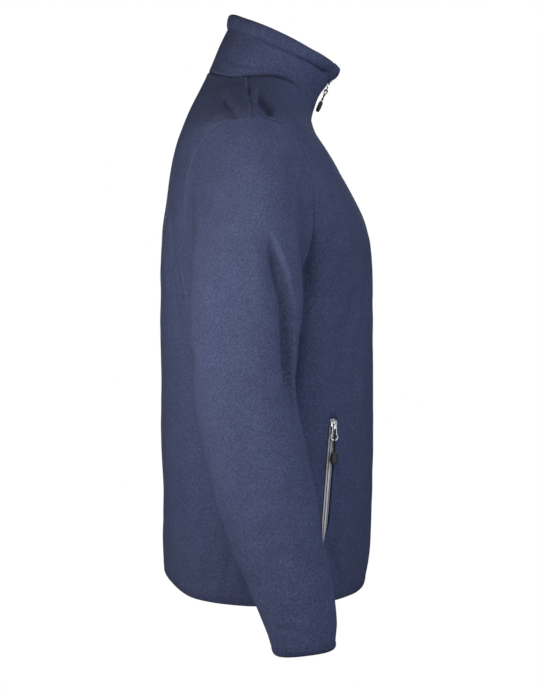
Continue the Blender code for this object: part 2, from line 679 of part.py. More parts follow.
def cord_points():
    """The cord's ring: round the loop's foot bar, then down to the knob."""
    bar_y = -LOOP_LENGTH + WIRE
    top = WIRE + CORD + PLAY
    narrow = CORD + 0.00035
    foot_y = -KNOB_TOP + CORD + SEAM
    points = []
    for degrees in range(-20, 201, 20):
        turn = math.radians(degrees)
        points.append((0.0, bar_y + top * math.sin(turn), top * math.cos(turn)))
    points.append((0.0, bar_y - 0.0045, -narrow * 1.3))
    for degrees in range(180, 361, 45):
        turn = math.radians(degrees)
        points.append((0.0, foot_y + narrow + narrow * math.sin(turn), narrow * math.cos(turn)))
    points.append((0.0, bar_y - 0.0045, narrow * 1.3))
    return points


def knob(name, finish_of, into, parent):
    """A rubber grip, rounder than a box and squarer than a ball."""
    grid = bmesh.new()
    bmesh.ops.create_uvsphere(grid, u_segments=12, v_segments=8, radius=1.0)
    for vertex in grid.verts:
        vertex.co = [math.copysign(abs(c) ** 0.75, c) * half for c, half in zip(vertex.co, KNOB)]
        vertex.co.y -= KNOB_TOP + KNOB[1]
    made = finish(name, grid, finish_of, into)
    made.parent = parent
    return made


def pull(name, hinge, into):
    """A loop, its cord and its knob, which hang from an empty on the hinge's axis."""
    pivot = bpy.data.objects.new(name + "_hinge", None)
    pivot.matrix_world = hinge
    into.objects.link(pivot)
    wire(name + "_loop", loop_points(), WIRE, (SILVER, 0.3, 1.0), into, pivot)
    wire(name + "_cord", cord_points(), CORD, (BLACK, 0.8), into, pivot)
    knob(name + "_knob", (BLACK, 0.6), into, pivot)


def raise_along(frame, height):
    return frame @ Matrix.Translation((0, 0, height))


def front_zip(jacket, cutters):
    """Two tapes and the closed chain between them, with the slider parked at the top."""
    cells = (1, PANEL_ROWS + ZIP_COLLAR_ROWS)
    back = CHAIN_FRONT + CHAIN_THICKNESS
    chain = zip_strip(-CHAIN_HALF, CHAIN_HALF, CHAIN_HALF, 0.1 * HEM_ROW)
    wall("zip_chain", chain, cells, (CHAIN_FRONT, back), (FLEECE_DARK, 0.5), jacket)
    tape = zip_strip(TAPE_INNER, TAPE_OUTER, ZIP_GAP - SEAM, 1.02 * HEM_ROW)
    depths = (WALL + 2 * SEAM, WALL + 2 * SEAM + TAPE_THICKNESS)
    for name, side in (("left", 1.0), ("right", -1.0)):
        wall(f"zip_tape_{name}", tape, cells, depths, (FLEECE_DARK, 0.8), jacket, side)
    rows = np.linspace(0, 1, 2001)
    line = skin(COLLAR, rows, angle_at_x(COLLAR, rows, 0.0))
    here = int(np.argmin(np.abs(line[0][:, 2] - FRONT_HINGE_Z)))
    point, normal = line[0][here], line[1][here]
    frame = seat(point - normal * (CHAIN_FRONT - SLIDER_LIFT), normal, (0, 0, 1))
    slider("zip_slider", frame, (SILVER, 0.3, 1.0), jacket, cutters)
    hinge = raise_along(frame, HINGE_HEIGHT)
    hang = -Vector(FRONT_PULL).normalized()
    out = Vector((1, 0, 0)).cross(hang)
    pull("zip_pull", seat(hinge.translation, out, hang), jacket)


def pocket(name, side, front, jacket, cutters):
    """A zip let into a slit in the front, with its slider at the top."""
    cut = pocket_strip(POCKET_HALF_WIDTH + SEAM, 0.002)
    slit = wall(f"pocket_slit_{name}", cut, (1, POCKET_ROWS), (-0.005, 0.008), (BLACK, 1.0), cutters, side)
    hide(slit)
    opening = front.modifiers.new("pocket", "BOOLEAN")
    opening.object = slit
    strip = pocket_strip(POCKET_HALF_WIDTH, 0.0)
    depths = (POCKET_SINK, POCKET_SINK + POCKET_THICKNESS)
    wall(f"pocket_zip_{name}", strip, (2, POCKET_ROWS), depths, (SILVER, 0.5), jacket, side)
    points, normals = skin(TORSO, *torso_at(*POCKET_HINGE))
    mirror = np.array([side, 1.0, 1.0])
    point, normal = points[0] * mirror, normals[0] * mirror
    ends, _ = strip(np.array([0.5, 0.5]), np.array([0.0, 1.0]))
    foot = point - normal * POCKET_SINK
    line = Vector((ends[0] - ends[1]) * mirror).normalized()
    foot = Vector(foot) + POCKET_LIFT * Vector(normal)
    turn = Matrix.Rotation(side * math.radians(POCKET_TURN), 3, line)
    out = turn @ Vector(normal)
    slider(f"pocket_slider_{name}", seat(foot, out, line), (SILVER, 0.3, 1.0), jacket, cutters)
    up = Vector((0, 0, 1)).lerp(line, POCKET_LEAN)
    pull(f"pocket_pull_{name}", raise_along(seat(foot, out, up), HINGE_HEIGHT), jacket)


def main():
    for left_over in list(bpy.data.objects):
        bpy.data.objects.remove(left_over, do_unlink=True)
    jacket = collection("fleece_zip_jacket")
    cutters = collection("cutters")
    cloth = (FLEECE, 0.95)
    edge = (FLEECE_DARK, 0.9)
    round_body = 4 * COLUMNS
    wall("back", place_back, (2 * COLUMNS, PANEL_ROWS), (0, WALL), cloth, jacket)
    wall("collar", place_collar, (round_body, COLLAR_ROWS), (0, WALL), cloth, jacket)
    bar("collar_roll", place_roll, (round_body, ROLL_SIDES), cloth, jacket)
    bar("hem_binding", place_hem_binding, (round_body, BINDING_SIDES), edge, jacket)
    front_zip(jacket, cutters)
    for name, side in (("left", 1.0), ("right", -1.0)):
        cells = (COLUMNS, PANEL_ROWS)
        front = wall(f"front_{name}", place_front(side), cells, (0, WALL), cloth, jacket)
        pocket(name, side, front, jacket, cutters)
        cells = (SLEEVE_COLUMNS, CAP_ROWS + TUBE_ROWS)
        wall(f"sleeve_{name}", place_sleeve(side), cells, (0, WALL), cloth, jacket, side, closed=True)
        cells = (SLEEVE_COLUMNS, BINDING_SIDES)
        bar(f"cuff_binding_{name}", place_cuff_binding, cells, edge, jacket, side, closed=True)


main()
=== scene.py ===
import json
import math

import bmesh
import bpy
import numpy as np
from mathutils import Matrix, Vector

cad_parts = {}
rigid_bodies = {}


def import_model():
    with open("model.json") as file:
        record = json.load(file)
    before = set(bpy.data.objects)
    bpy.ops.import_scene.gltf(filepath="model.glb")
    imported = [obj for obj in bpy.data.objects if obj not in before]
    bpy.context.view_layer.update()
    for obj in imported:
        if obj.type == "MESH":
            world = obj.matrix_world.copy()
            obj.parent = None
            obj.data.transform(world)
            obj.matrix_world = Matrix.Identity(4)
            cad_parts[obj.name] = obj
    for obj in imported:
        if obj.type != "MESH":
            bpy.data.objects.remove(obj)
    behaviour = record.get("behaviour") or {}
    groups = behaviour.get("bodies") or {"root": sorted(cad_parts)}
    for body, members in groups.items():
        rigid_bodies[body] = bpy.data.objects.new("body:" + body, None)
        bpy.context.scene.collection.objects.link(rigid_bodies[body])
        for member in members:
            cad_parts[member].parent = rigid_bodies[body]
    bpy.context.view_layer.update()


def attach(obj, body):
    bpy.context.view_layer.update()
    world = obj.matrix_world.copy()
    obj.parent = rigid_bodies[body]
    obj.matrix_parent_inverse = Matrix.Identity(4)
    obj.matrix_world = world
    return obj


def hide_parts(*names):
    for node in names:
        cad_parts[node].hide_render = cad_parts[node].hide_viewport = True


for left_over in list(bpy.data.objects):
    bpy.data.objects.remove(left_over, do_unlink=True)
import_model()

# Studio. The camera looks at the wearer's right side. A broad soft light stands behind their
# right shoulder, weaker ones fill the front and the far side, and the pale floor lies well
# below the cuffs, because the jacket hangs as worn.
FRAME_HEIGHT = 690  # pixels
FOCAL = 1679  # the lens in pixels of that frame
LEVEL_SHIFT = -95  # pixels that the level line lies above the frame's middle
FLOOR_Z = -1.35
FLOOR_HALF = 9.0
EYE = (-2.3, -0.026, -0.2253)  # the camera's place
LIT_X, LIT_Z = 0.28, -0.25  # the spot on each sleeve that the lamps of its side point at
WHITE = (1.0, 1.0, 1.0, 1.0)
scene = bpy.context.scene
scene.view_settings.view_transform = "Standard"


def linked(name, data):
    """A new object in the scene, at the origin."""
    made = bpy.data.objects.new(name, data)
    scene.collection.objects.link(made)
    return made


def camera_sees(tree, seen, usual, output):
    """Shows the camera one shader, while every other ray meets the usual one."""
    ray = tree.nodes.new("ShaderNodeLightPath")
    either = tree.nodes.new("ShaderNodeMixShader")
    tree.links.new(ray.outputs["Is Camera Ray"], either.inputs["Fac"])
    tree.links.new(usual, either.inputs[1])
    tree.links.new(seen, either.inputs[2])
    tree.links.new(either.outputs["Shader"], tree.nodes[output].inputs["Surface"])


camera = linked("camera", bpy.data.cameras.new("camera"))
camera.location = EYE
camera.rotation_euler = (math.radians(90), 0, math.radians(-90))
camera.data.sensor_width = 36
camera.data.lens = FOCAL * camera.data.sensor_width / FRAME_HEIGHT
camera.data.shift_y = LEVEL_SHIFT / FRAME_HEIGHT
scene.camera = camera

surround = bpy.data.worlds.new("surround")
surround.use_nodes = True
scene.world = surround
glow = surround.node_tree.nodes["Background"]
glow.inputs["Color"].default_value = WHITE
glow.inputs["Strength"].default_value = 0.02
white = surround.node_tree.nodes.new("ShaderNodeBackground")
white.inputs["Color"].default_value = WHITE
camera_sees(
    surround.node_tree, white.outputs["Background"], glow.outputs["Background"], "World Output"
)

for name, spot, power, size, tint in (
    ("key_behind", (-0.75, 0.80, -0.40), 5.2, 0.25, (1.0, 0.985, 0.97)),
    ("key_beside", (-0.75, 0.35, -0.14), 1.6, 0.25, (1.0, 0.94, 0.87)),
    ("key_side", (-0.75, 0.00, 0.10), 1.2, 0.25, (1.0, 0.94, 0.87)),
    ("key_front", (-0.50, -1.20, 0.70), 9.2, 0.50, (0.90, 0.95, 1.0)),
    ("key_low", (-0.90, -0.50, -0.50), 2.2, 0.50, (0.90, 0.95, 1.0)),
    ("back_fill", (0.20, 1.50, 0.10), 0.5, 0.50, (1.0, 1.0, 1.0)),
    ("far_behind", (1.25, 0.25, -0.18), 5.0, 0.40, (1.0, 0.96, 0.91)),
    ("far_before", (1.30, -0.30, -0.05), 4.0, 0.60, (0.95, 0.97, 1.0)),
):
    lamp = bpy.data.lights.new(name, "AREA")
    lamp.energy = power
    lamp.size = size
    lamp.color = tint
    holder = linked(name, lamp)
    holder.location = spot
    aim = Vector((math.copysign(LIT_X, spot[0]), 0.0, LIT_Z)) - Vector(spot)
    holder.rotation_euler = aim.to_track_quat("-Z", "Y").to_euler()
    holder.visible_camera = False

ground = bmesh.new()
bmesh.ops.create_grid(ground, x_segments=1, y_segments=1, size=FLOOR_HALF)
bmesh.ops.translate(ground, verts=ground.verts, vec=(0, 0, FLOOR_Z))
floor_mesh = bpy.data.meshes.new("floor")
ground.to_mesh(floor_mesh)
ground.free()
floor = linked("floor", floor_mesh)
paper = bpy.data.materials.new("paper")
paper.use_nodes = True
paper_shader = paper.node_tree.nodes["Principled BSDF"]
paper_shader.inputs["Base Color"].default_value = (0.86, 0.86, 0.86, 1.0)
paper_shader.inputs["Roughness"].default_value = 0.9
lit = paper.node_tree.nodes.new("ShaderNodeEmission")
camera_sees(
    paper.node_tree, lit.outputs["Emission"], paper_shader.outputs["BSDF"], "Material Output"
)
floor_mesh.materials.append(paper)

# Fronts and back. Microfleece in navy melange, brushed on both faces, about 2 mm thick. Two
# fronts and a back cut in one are joined at the shoulders and the sides, and each front has a
# slit for its pocket's zip. Their surface is the torso's rings, the same as the solids'.
WALL = 0.0022
SEAM = 0.0003  # gap left between two sewn pieces of the solids
LAP = 0.0003  # by which the cloth of two sewn pieces laps over that gap
CELL = 0.0042  # size of a fleece panel's net, away from its seams
FINE_CELL = 0.0009
SEAM_REACH = 0.012  # how far from a seam the net is finer
SIDE_ROWS = 8
ARMHOLE_ROWS = 14
SHOULDER_ROWS = 4
TORSO = np.array([
    # z_front z_side  z_back   y_front  y_side   y_back  width  pow_f pow_b dip_f dip_b
    [-0.6715, -0.6745, -0.6595, -0.1525, -0.010, 0.1190, 0.187, 2.6, 2.05, 2.0, 2.0],
    [-0.6300, -0.6300, -0.6200, -0.1600, -0.010, 0.1210, 0.192, 2.6, 2.2, 2.0, 2.0],
    [-0.5600, -0.5600, -0.5550, -0.1632, -0.009, 0.1202, 0.193, 2.6, 2.3, 2.0, 2.0],
    [-0.4800, -0.4800, -0.4780, -0.1644, -0.008, 0.1230, 0.190, 2.6, 2.4, 2.0, 2.0],
    [-0.4000, -0.4000, -0.4000, -0.1644, -0.006, 0.1234, 0.187, 2.5, 2.4, 2.0, 2.0],
    [-0.3350, -0.3350, -0.3350, -0.1644, -0.004, 0.1238, 0.184, 2.5, 2.5, 2.0, 2.0],
    [-0.2850, -0.2850, -0.2850, -0.1644, -0.003, 0.1240, 0.183, 2.5, 2.5, 2.0, 2.0],
    [-0.2500, -0.2450, -0.2460, -0.1637, -0.003, 0.1238, 0.195, 2.4, 2.4, 2.0, 2.0],
    [-0.2120, -0.2000, -0.2050, -0.1603, -0.003, 0.1220, 0.213, 2.3, 2.3, 2.0, 2.0],
    [-0.1760, -0.1550, -0.1630, -0.1488, -0.003, 0.1165, 0.225, 2.2, 2.2, 2.0, 2.0],
    [-0.1400, -0.1080, -0.1200, -0.1300, -0.003, 0.1103, 0.227, 2.1, 2.1, 2.0, 2.0],
    [-0.1060, -0.0600, -0.0780, -0.1105, -0.003, 0.1017, 0.215, 2.1, 2.1, 2.0, 2.0],
    [-0.0760, -0.0285, -0.0340, -0.0908, 0.001, 0.0836, 0.148, 2.1, 2.1, 2.5, 2.2],
    [-0.0500, 0.0045, 0.0172, -0.0800, 0.005, 0.0592, 0.075, 2.2, 2.2, 4.6, 3.0],
])
ARMHOLE_Y, ARMHOLE_Z = -0.003, -0.1725
ARMHOLE_HALF_HEIGHT, ARMHOLE_FRONT, ARMHOLE_BACK = 0.1125, 0.077, 0.086
ARMHOLE_POWER = 2.4
BINDING = 0.009  # height of the hem's and the cuffs' binding
SEAM_STITCHES = 0.0031  # how far from a seam the row of stitches beside it runs
ZIP_STITCHES = 0.0062  # and how far from the front zip
ZIP_GAP = 0.0055  # half the width that the two fronts leave open
CENTRE_BACK = -math.pi / 2
Z_SIDE, Y_SIDE, WIDTH, POWER_FRONT = 1, 4, 6, 7  # columns of TORSO and COLLAR
SIDES = (("left", 1.0), ("right", -1.0))
STEP = 1e-4  # of a table's row or an angle, for slopes


def table_at(rows, t):
    """Every column at t, 0 on the first row and 1 on the last, along Catmull-Rom curves."""
    padded = np.vstack([2 * rows[0] - rows[1], rows, 2 * rows[-1] - rows[-2]])
    place = np.clip(t, 0.0, 1.0) * (len(rows) - 1)
    first = np.clip(np.floor(place).astype(int), 0, len(rows) - 2)
    f = (place - first)[..., None]
    a, b, c, d = (padded[first + k] for k in range(4))
    return b + 0.5 * f * (c - a + f * (2 * a - 5 * b + 4 * c - d + f * (3 * (b - c) + d - a)))


def unit(vectors):
    return vectors / np.linalg.norm(vectors, axis=-1, keepdims=True)


def hump(x, width, centre=0.0):
    """A smooth hump, 1 high over its centre."""
    return np.exp(-(((x - centre) / width) ** 2))


def boxy(x, power):
    """A value from -1 to 1 drawn out towards its ends by a power below 1, for squarer sections."""
    return np.sign(x) * np.abs(x) ** power


def share(x, start, end):
    """How far x has got from start (0) to end (1)."""
    return np.clip((x - start) / (end - start), 0, 1)


def eased(x):
    """A share from 0 to 1 that starts and ends softly."""
    return x * x * (3 - 2 * x)


def mirrored(points, mirror):
    """Points or ways with x turned round where the mirror sign is -1."""
    return points * np.stack([mirror, np.ones_like(mirror), np.ones_like(mirror)], axis=-1)


def round_off(across, forward, power):
    """Distance to a superellipse of this power along a direction. Power 2 is a circle."""
    return (np.abs(across) ** power + np.abs(forward) ** power) ** (-1 / power)


def half_of(columns, front):
    """The depth, rise and powers of a ring's front or back half, from the table's columns."""
    z_front, z_side, z_back, y_front, y_side, y_back, _width, power_f, power_b, dip_f, dip_b = columns
    depth = np.where(front, y_front, y_back) - y_side
    rise = np.where(front, z_front, z_back) - z_side
    return depth, rise, np.where(front, power_f, power_b), np.where(front, dip_f, dip_b)


def ring(rows, angle):
    """Points on the left half of rings. Angle 0 is the side, 90 degrees the centre front."""
    columns = np.moveaxis(rows, -1, 0)
    across, forward = np.cos(angle), np.sin(angle)
    depth, rise, power, dip = half_of(columns, forward > 0)
    size = round_off(across, forward, power)
    reach = size * np.abs(forward)
    z = columns[Z_SIDE] + rise * reach**dip
    return np.stack([columns[WIDTH] * size * across, columns[Y_SIDE] + depth * reach, z], axis=-1)


def skin(table, t, angle):
    """Points and outward normals of the torso's or the collar's surface."""
    t, angle = np.broadcast_arrays(np.atleast_1d(t).astype(float), angle)
    up = ring(table_at(table, t + STEP), angle) - ring(table_at(table, t - STEP), angle)
    row = table_at(table, t)
    around = ring(row, angle + STEP) - ring(row, angle - STEP)
    return ring(row, angle), unit(np.cross(up, around))


def angle_at_x(table, t, x):
    """The angle near the centre front where a ring is x away from the middle."""
    row = table_at(table, np.atleast_1d(t))
    width, power = row[..., WIDTH], row[..., POWER_FRONT]
    across = x / width
    return np.arctan2((1 - across**power) ** (1 / power), across)


def torso_at(y, z):
    """Row and angle where the torso's surface has this y and this z."""
    y, z = np.broadcast_arrays(np.atleast_1d(y).astype(float), z)
    low, high = np.zeros(y.shape), np.ones(y.shape)
    for _ in range(40):
        t = (low + high) / 2
        columns = np.moveaxis(table_at(TORSO, t), -1, 0)
        front = y < columns[Y_SIDE]
        depth, rise, power, dip = half_of(columns, front)
        reach = np.clip((y - columns[Y_SIDE]) / depth, 0.0, 1.0)
        below = columns[Z_SIDE] + rise * reach**dip < z
        low, high = np.where(below, t, low), np.where(below, high, t)
    across = (1 - reach**power) ** (1 / power)
    return t, np.arctan2(np.where(front, reach, -reach), across)


def row_at_height(z):
    """The torso's row whose side lies at this height."""
    rows = np.linspace(0, 1, 1301)
    return float(np.interp(z, table_at(TORSO, rows)[:, Z_SIDE], rows))


def armhole(turn, grow):
    """Row and angle on the armhole's edge. Turn is 0 at the shoulder and 90 degrees in front."""
    size = round_off(np.cos(turn), np.sin(turn), ARMHOLE_POWER)
    depth = np.where(np.sin(turn) > 0, ARMHOLE_FRONT, ARMHOLE_BACK) + grow
    y = ARMHOLE_Y - depth * size * np.sin(turn)
    z = ARMHOLE_Z + (ARMHOLE_HALF_HEIGHT + grow) * size * np.cos(turn)
    return torso_at(y, z)


HEM_ROW = row_at_height(TORSO[0, Z_SIDE] + BINDING + SEAM)
ARMPIT_ROW = armhole(math.pi, -LAP / 2)[0][0]
TIP_ROW = armhole(0.0, -LAP / 2)[0][0]
PANEL_ROWS = SIDE_ROWS + ARMHOLE_ROWS + SHOULDER_ROWS
HEM_TUCK = 0.84  # the cloth ends inside its binding, at this part of the binding's height


def panel_edge(v, front):
    """Row and edge angle of a front or back panel, from the hem (v = 0) to the neck (v = 1)."""
    cell = v * PANEL_ROWS
    side = np.clip(cell / SIDE_ROWS, 0, 1)
    hole = np.clip((cell - SIDE_ROWS) / ARMHOLE_ROWS, 0, 1)
    shoulder = np.clip((cell - SIDE_ROWS - ARMHOLE_ROWS) / SHOULDER_ROWS, 0, 1)
    turn = math.pi * (1 - hole)
    row_hole, edge = armhole(turn if front else -turn, -LAP / 2)
    start = HEM_TUCK * HEM_ROW
    t = np.where(hole > 0, row_hole, start + side * (ARMPIT_ROW - start))
    t = np.where(shoulder > 0, TIP_ROW + shoulder * (1 - TIP_ROW), t)
    straight = (hole <= 0) | (shoulder > 0)
    lap = LAP / 2 / table_at(TORSO, t)[..., WIDTH]
    return t, np.where(straight, -lap, np.abs(edge))


EVEN_FROM = 0.8  # part of the armhole's rows after which the edge's own rows crowd together


def even_rows(v, front):
    """The panel's rows away from its edge, spaced evenly below the armhole's tip."""
    hole = np.clip((v * PANEL_ROWS - SIDE_ROWS) / ARMHOLE_ROWS, 0, 1)
    turn = math.pi * (1 - EVEN_FROM)
    crowded = armhole(turn if front else -turn, -LAP / 2)[0][0]
    even = crowded + (TIP_ROW - crowded) * (hole - EVEN_FROM) / (1 - EVEN_FROM)
    return np.where((hole > EVEN_FROM) & (hole < 1), even, panel_edge(v, front)[0])


def panel_net(v, front, to_edge):
    """Rows and edge angles of a panel's points, where to_edge is 1 on its edge and 0 inside."""
    t, edge = panel_edge(v, front)
    inside = even_rows(v, front)
    return inside + (t - inside) * eased(np.clip(4 * to_edge - 3, 0, 1)), edge


# Folds and creases: soft ridges (a rise above 0) and troughs in the cloth's face. Each runs
# along a curve from its first point to its third, drawn towards its second. A point is an angle
# in degrees and a height in mm, and a fold's width and rise are in mm too. Side 1 is the wearer's
# left and -1 their right.
MM = 0.001
TORSO_RADIUS = 0.16
TORSO_FOLDS = [
    # side, three points (angle, height), width, rise
    (-1, 53, -262, 42, -340, 37, -430, 11, -3.2),
    (-1, 27, -212, 20.5, -300, 13, -430, 11, -6.6),
    (-1, 67, -262, 55, -330, 50, -470, 13, 5),
    (1, 50, -275, 45, -350, 40, -410, 13, -2.6),
    (1, 27, -220, 21, -305, 14, -420, 11, -6),
    (1, 63, -275, 54, -345, 49, -490, 17, 4),
    (-1, -42, -205, -36, -270, -30, -330, 12, -3.5),
    (-1, -52, -235, -48, -290, -45, -350, 14, -2.4),
    (1, -40, -200, -38, -265, -28, -345, 12, -3.2),
    (1, -55, -250, -50, -310, -44, -365, 15, -2.6),
    (-1, 22, -560, 26, -610, 24, -655, 10, -2.2),
    (1, 30, -575, 26, -620, 28, -655, 11, -2),
    (-1, -25, -575, -30, -615, -27, -655, 12, -2.6),
    (1, -33, -565, -29, -610, -32, -655, 13, -2.2),
    # Creases by the neck and the shoulder
    (-1, 4, -24, 9.5, -34, 15.5, -55, 10, -10.4),
    (1, 5, -25, 11, -37, 15.5, -51, 9.8, -8.6),
    (-1, 2, -22, -9, -3, -33, 3, 5, -3.4),
    (1, 1, -20, -11, -4, -34, 0, 5, -2.8),
    (-1, -26, -26, -20, -46, -9, -58, 8, -3.8),
    (1, -28, -30, -22, -48, -11, -60, 8, -3.4),
    (-1, -37, -78, -31, -74, -25, -73.5, 4, -1.4),
    (1, -40, -83, -34, -78, -27, -76, 4.5, -1.2),
    (-1, -0.5, -2, -2, -22, -1.5, -44, 6.5, -2),
    (1, -1, -4, -2.5, -24, -2, -42, 6.5, -1.6),
    # Creases that run down from the armholes, in front and behind
    (-1, 27.8, -196, 26.8, -226, 22.8, -275, 3.6, -4.4),
    (1, 28, -198, 26.6, -228, 23, -270, 3.6, -4),
    (-1, 44, -150, 47, -172, 45, -200, 6, -1.1),
    (1, 43, -145, 45, -170, 44, -195, 6, -1.2),
    (-1, 62, -249, 56, -256, 50, -276, 7, 1.3),
    (1, 60, -262, 55, -268, 48, -290, 7, 1.1),
    # Soft swells across the lower back and above the hem
    (-1, -58, -430, -68, -448, -80, -445, 11, -1.4),
    (1, -55, -455, -66, -470, -82, -462, 12, -1.3),
    (-1, -62, -540, -70, -585, -68, -640, 11, -1.5),
    (1, -60, -555, -66, -600, -72, -645, 11, -1.4),
    (-1, -15, -596, -17, -628, -19, -662, 5.5, -1.7),
    (1, -17, -600, -15, -630, -18, -662, 6, -1.4),
    (-1, 31.5, -590, 34, -604, 37, -622, 4, -1.6),
    (1, 32, -592, 35, -606, 37, -618, 4, -1.4),
    (-1, 36, -610, 38, -630, 42, -658, 5, -2),
    (1, 38, -612, 39, -635, 43, -660, 5.5, -1.7),
    (-1, 45, -636, 47, -652, 50, -664, 5, -1.3),
    (1, 49, -630, 50, -648, 53, -662, 5, -1.2),
]
TORSO_CREASES = [
    # side, three points (angle, height), width, rise
    (-1, -59, -175, -49, -235, -40, -312, 8, -7),
    (-1, -54, -240, -49, -290, -43.5, -345, 7, -5),
    (-1, -66, -190, -58, -230, -54, -290, 7, -4),
    (1, -58, -180, -49, -240, -41, -305, 8, -6.4),
    (1, -55, -250, -49, -295, -44, -350, 7, -4.6),
    (1, -64, -200, -58, -240, -53, -300, 7, -3.6),
]
CREASE_STEEP = 0.35  # part of a crease's width that its steep side has


def fold_height(folds, side, angle, z, radius, steep=1.0):
    """How far the folds of one side raise the cloth at an angle and a height. A crease that is
    steep has that part of its width on the side of larger angles, for one that runs downwards."""
    total = np.zeros(angle.shape)
    here = np.stack([radius * angle, z], axis=-1)
    for fold_side, a1, z1, a2, z2, a3, z3, width_mm, rise_mm in folds:
        width = width_mm * MM
        first, pull, last = (
            np.array([radius * math.radians(a), h * MM]) for a, h in ((a1, z1), (a2, z2), (a3, z3))
        )
        low = np.minimum(np.minimum(first, pull), last) - 3 * width
        high = np.maximum(np.maximum(first, pull), last) + 3 * width
        near = np.all((here > low) & (here < high), axis=-1) & (side == fold_side)
        if not near.any():
            continue
        spots = here[near]
        nearest, along = np.full(len(spots), np.inf), np.zeros(len(spots))
        widths = np.full(len(spots), width)
        for k in np.linspace(0, 1, 41):
            spot = (1 - k) ** 2 * first + 2 * k * (1 - k) * pull + k * k * last
            way = (1 - k) * (pull - first) + k * (last - pull)
            beyond = way[0] * (spots - spot)[:, 1] - way[1] * (spots - spot)[:, 0] > 0
            distance = np.linalg.norm(spots - spot, axis=1)
            along = np.where(distance < nearest, k, along)
            widths = np.where(distance < nearest, np.where(beyond, steep * width, width), widths)
            nearest = np.minimum(nearest, distance)
        fade = np.clip(4 * along + 0.2, 0, 1) * np.clip(4 * (1 - along) + 0.2, 0, 1)
        total[near] += rise_mm * MM * fade * hump(nearest, widths)
    return total


def torso_fold(net, angle, side):
    """How far the torso's folds raise a net of points."""
    spots = side, angle, net[..., 2], TORSO_RADIUS
    return fold_height(TORSO_FOLDS, *spots) + fold_height(TORSO_CREASES, *spots, CREASE_STEEP)


def cell_edges(length, seams=(True, True), finer=()):
    """Where a net's cells begin and end, from 0 to 1: fine by a seam and inside finer stretches."""
    spots = [0.0]
    while spots[-1] < length:
        here = spots[-1]
        to_seam = min(here if seams[0] else length, length - here if seams[1] else length)
        size = FINE_CELL + (CELL - FINE_CELL) * min(1.0, to_seam / SEAM_REACH)
        for first, last, fine in finer:
            if first < here < last:
                size = min(size, fine)
        spots.append(here + size)
    return np.array(spots) / spots[-1]


def outward(net, closed=False):
    """Unit normals of a net. They point away from the middle of its rows."""
    wide = np.concatenate([net[:, -2:-1], net, net[:, 1:2]], axis=1) if closed else net
    normals = unit(np.cross(np.gradient(wide, axis=1), np.gradient(wide, axis=0)))
    normals = normals[:, 1:-1] if closed else normals
    away = np.sum(normals * (net - net.mean(axis=1, keepdims=True)))
    return normals if away > 0 else -normals


def run(net, axis):
    """The distance that each point of a net lies along its row (axis 1) or column (axis 0)."""
    steps = np.linalg.norm(np.diff(net, axis=axis), axis=2)
    return np.insert(np.cumsum(steps, axis=axis), 0, 0.0, axis=axis)


def seam_rise(distance):
    """Cloth dives into a seam and swells a little beside it."""
    return -0.0012 * hump(distance, 0.0013) + 0.0006 * hump(distance, 0.0020, 0.0042)


def zip_rise(distance):
    """Cloth turns in at the front zip, and its row of stitches there sinks in."""
    return -0.0011 * hump(distance, 0.0012) - 0.0005 * hump(distance, 0.0009, ZIP_STITCHES)


def neck_blend(angle, distance):
    """The cloth runs softly from the collar into the front, without a kink at the neck's seam."""
    degrees = np.degrees(angle)
    soft = share(degrees, -5, 25) * share(degrees, 80, 62)
    crease = share(degrees, -14, 0) * share(degrees, 52, 32)
    return 0.0050 * soft * share(distance, 0.030, 0) ** 2 - 0.0032 * crease * hump(distance, 0.0042)


def unevenness(net, seed):
    """Soft random swells of under half a millimetre, so that no stretch of cloth is quite even."""
    random = np.random.default_rng(seed)
    total = np.zeros(net.shape[:2])
    for _ in range(14):
        way = unit(random.normal(size=3))
        wave = random.uniform(0.025, 0.11)
        total += np.sin(2 * math.pi * (net @ way) / wave + random.uniform(0, 2 * math.pi))
    return 0.00011 * total


def pucker(distance, along, seed):
    """The small waves that sewing draws into cloth beside a seam or a zip."""
    random = np.random.default_rng(seed)
    total = np.zeros(along.shape)
    for _ in range(4):
        wave = random.uniform(0.014, 0.045)
        total += np.sin(2 * math.pi * along / wave + random.uniform(0, 6))
    return 0.00016 * total * np.exp(-distance / 0.011)


def raised(net, normals, rise):
    return net + normals * rise[..., None]


def shader_of(name, roughness):
    """A new material with its node tree and its principled shader."""
    made = bpy.data.materials.new(name)
    made.use_nodes = True
    shader = made.node_tree.nodes["Principled BSDF"]
    shader.inputs["Roughness"].default_value = roughness
    return made, made.node_tree, shader


def coordinate(tree, kind):
    return tree.nodes.new("ShaderNodeTexCoord").outputs[kind]


def noise_of(tree, source, scale, detail=2.0, roughness=0.5):
    made = tree.nodes.new("ShaderNodeTexNoise")
    made.inputs["Scale"].default_value = scale
    made.inputs["Detail"].default_value = detail
    made.inputs["Roughness"].default_value = roughness
    tree.links.new(source, made.inputs["Vector"])
    return made.outputs["Fac"]


def coloured(tree, value, stops):
    """A colour ramp over a value, from (position, colour) stops."""
    ramp = tree.nodes.new("ShaderNodeValToRGB")
    points = ramp.color_ramp.elements
    for _ in range(len(stops) - 2):
        points.new(0.5)
    for point, (position, colour) in zip(points, stops):
        point.position = position
        point.color = (*colour, 1.0)
    tree.links.new(value, ramp.inputs["Fac"])
    return ramp.outputs["Color"]


def bump_of(tree, height, distance, strength=1.0, under=None):
    made = tree.nodes.new("ShaderNodeBump")
    made.inputs["Distance"].default_value = distance
    made.inputs["Strength"].default_value = strength
    tree.links.new(height, made.inputs["Height"])
    if under is not None:
        tree.links.new(under, made.inputs["Normal"])
    return made.outputs["Normal"]


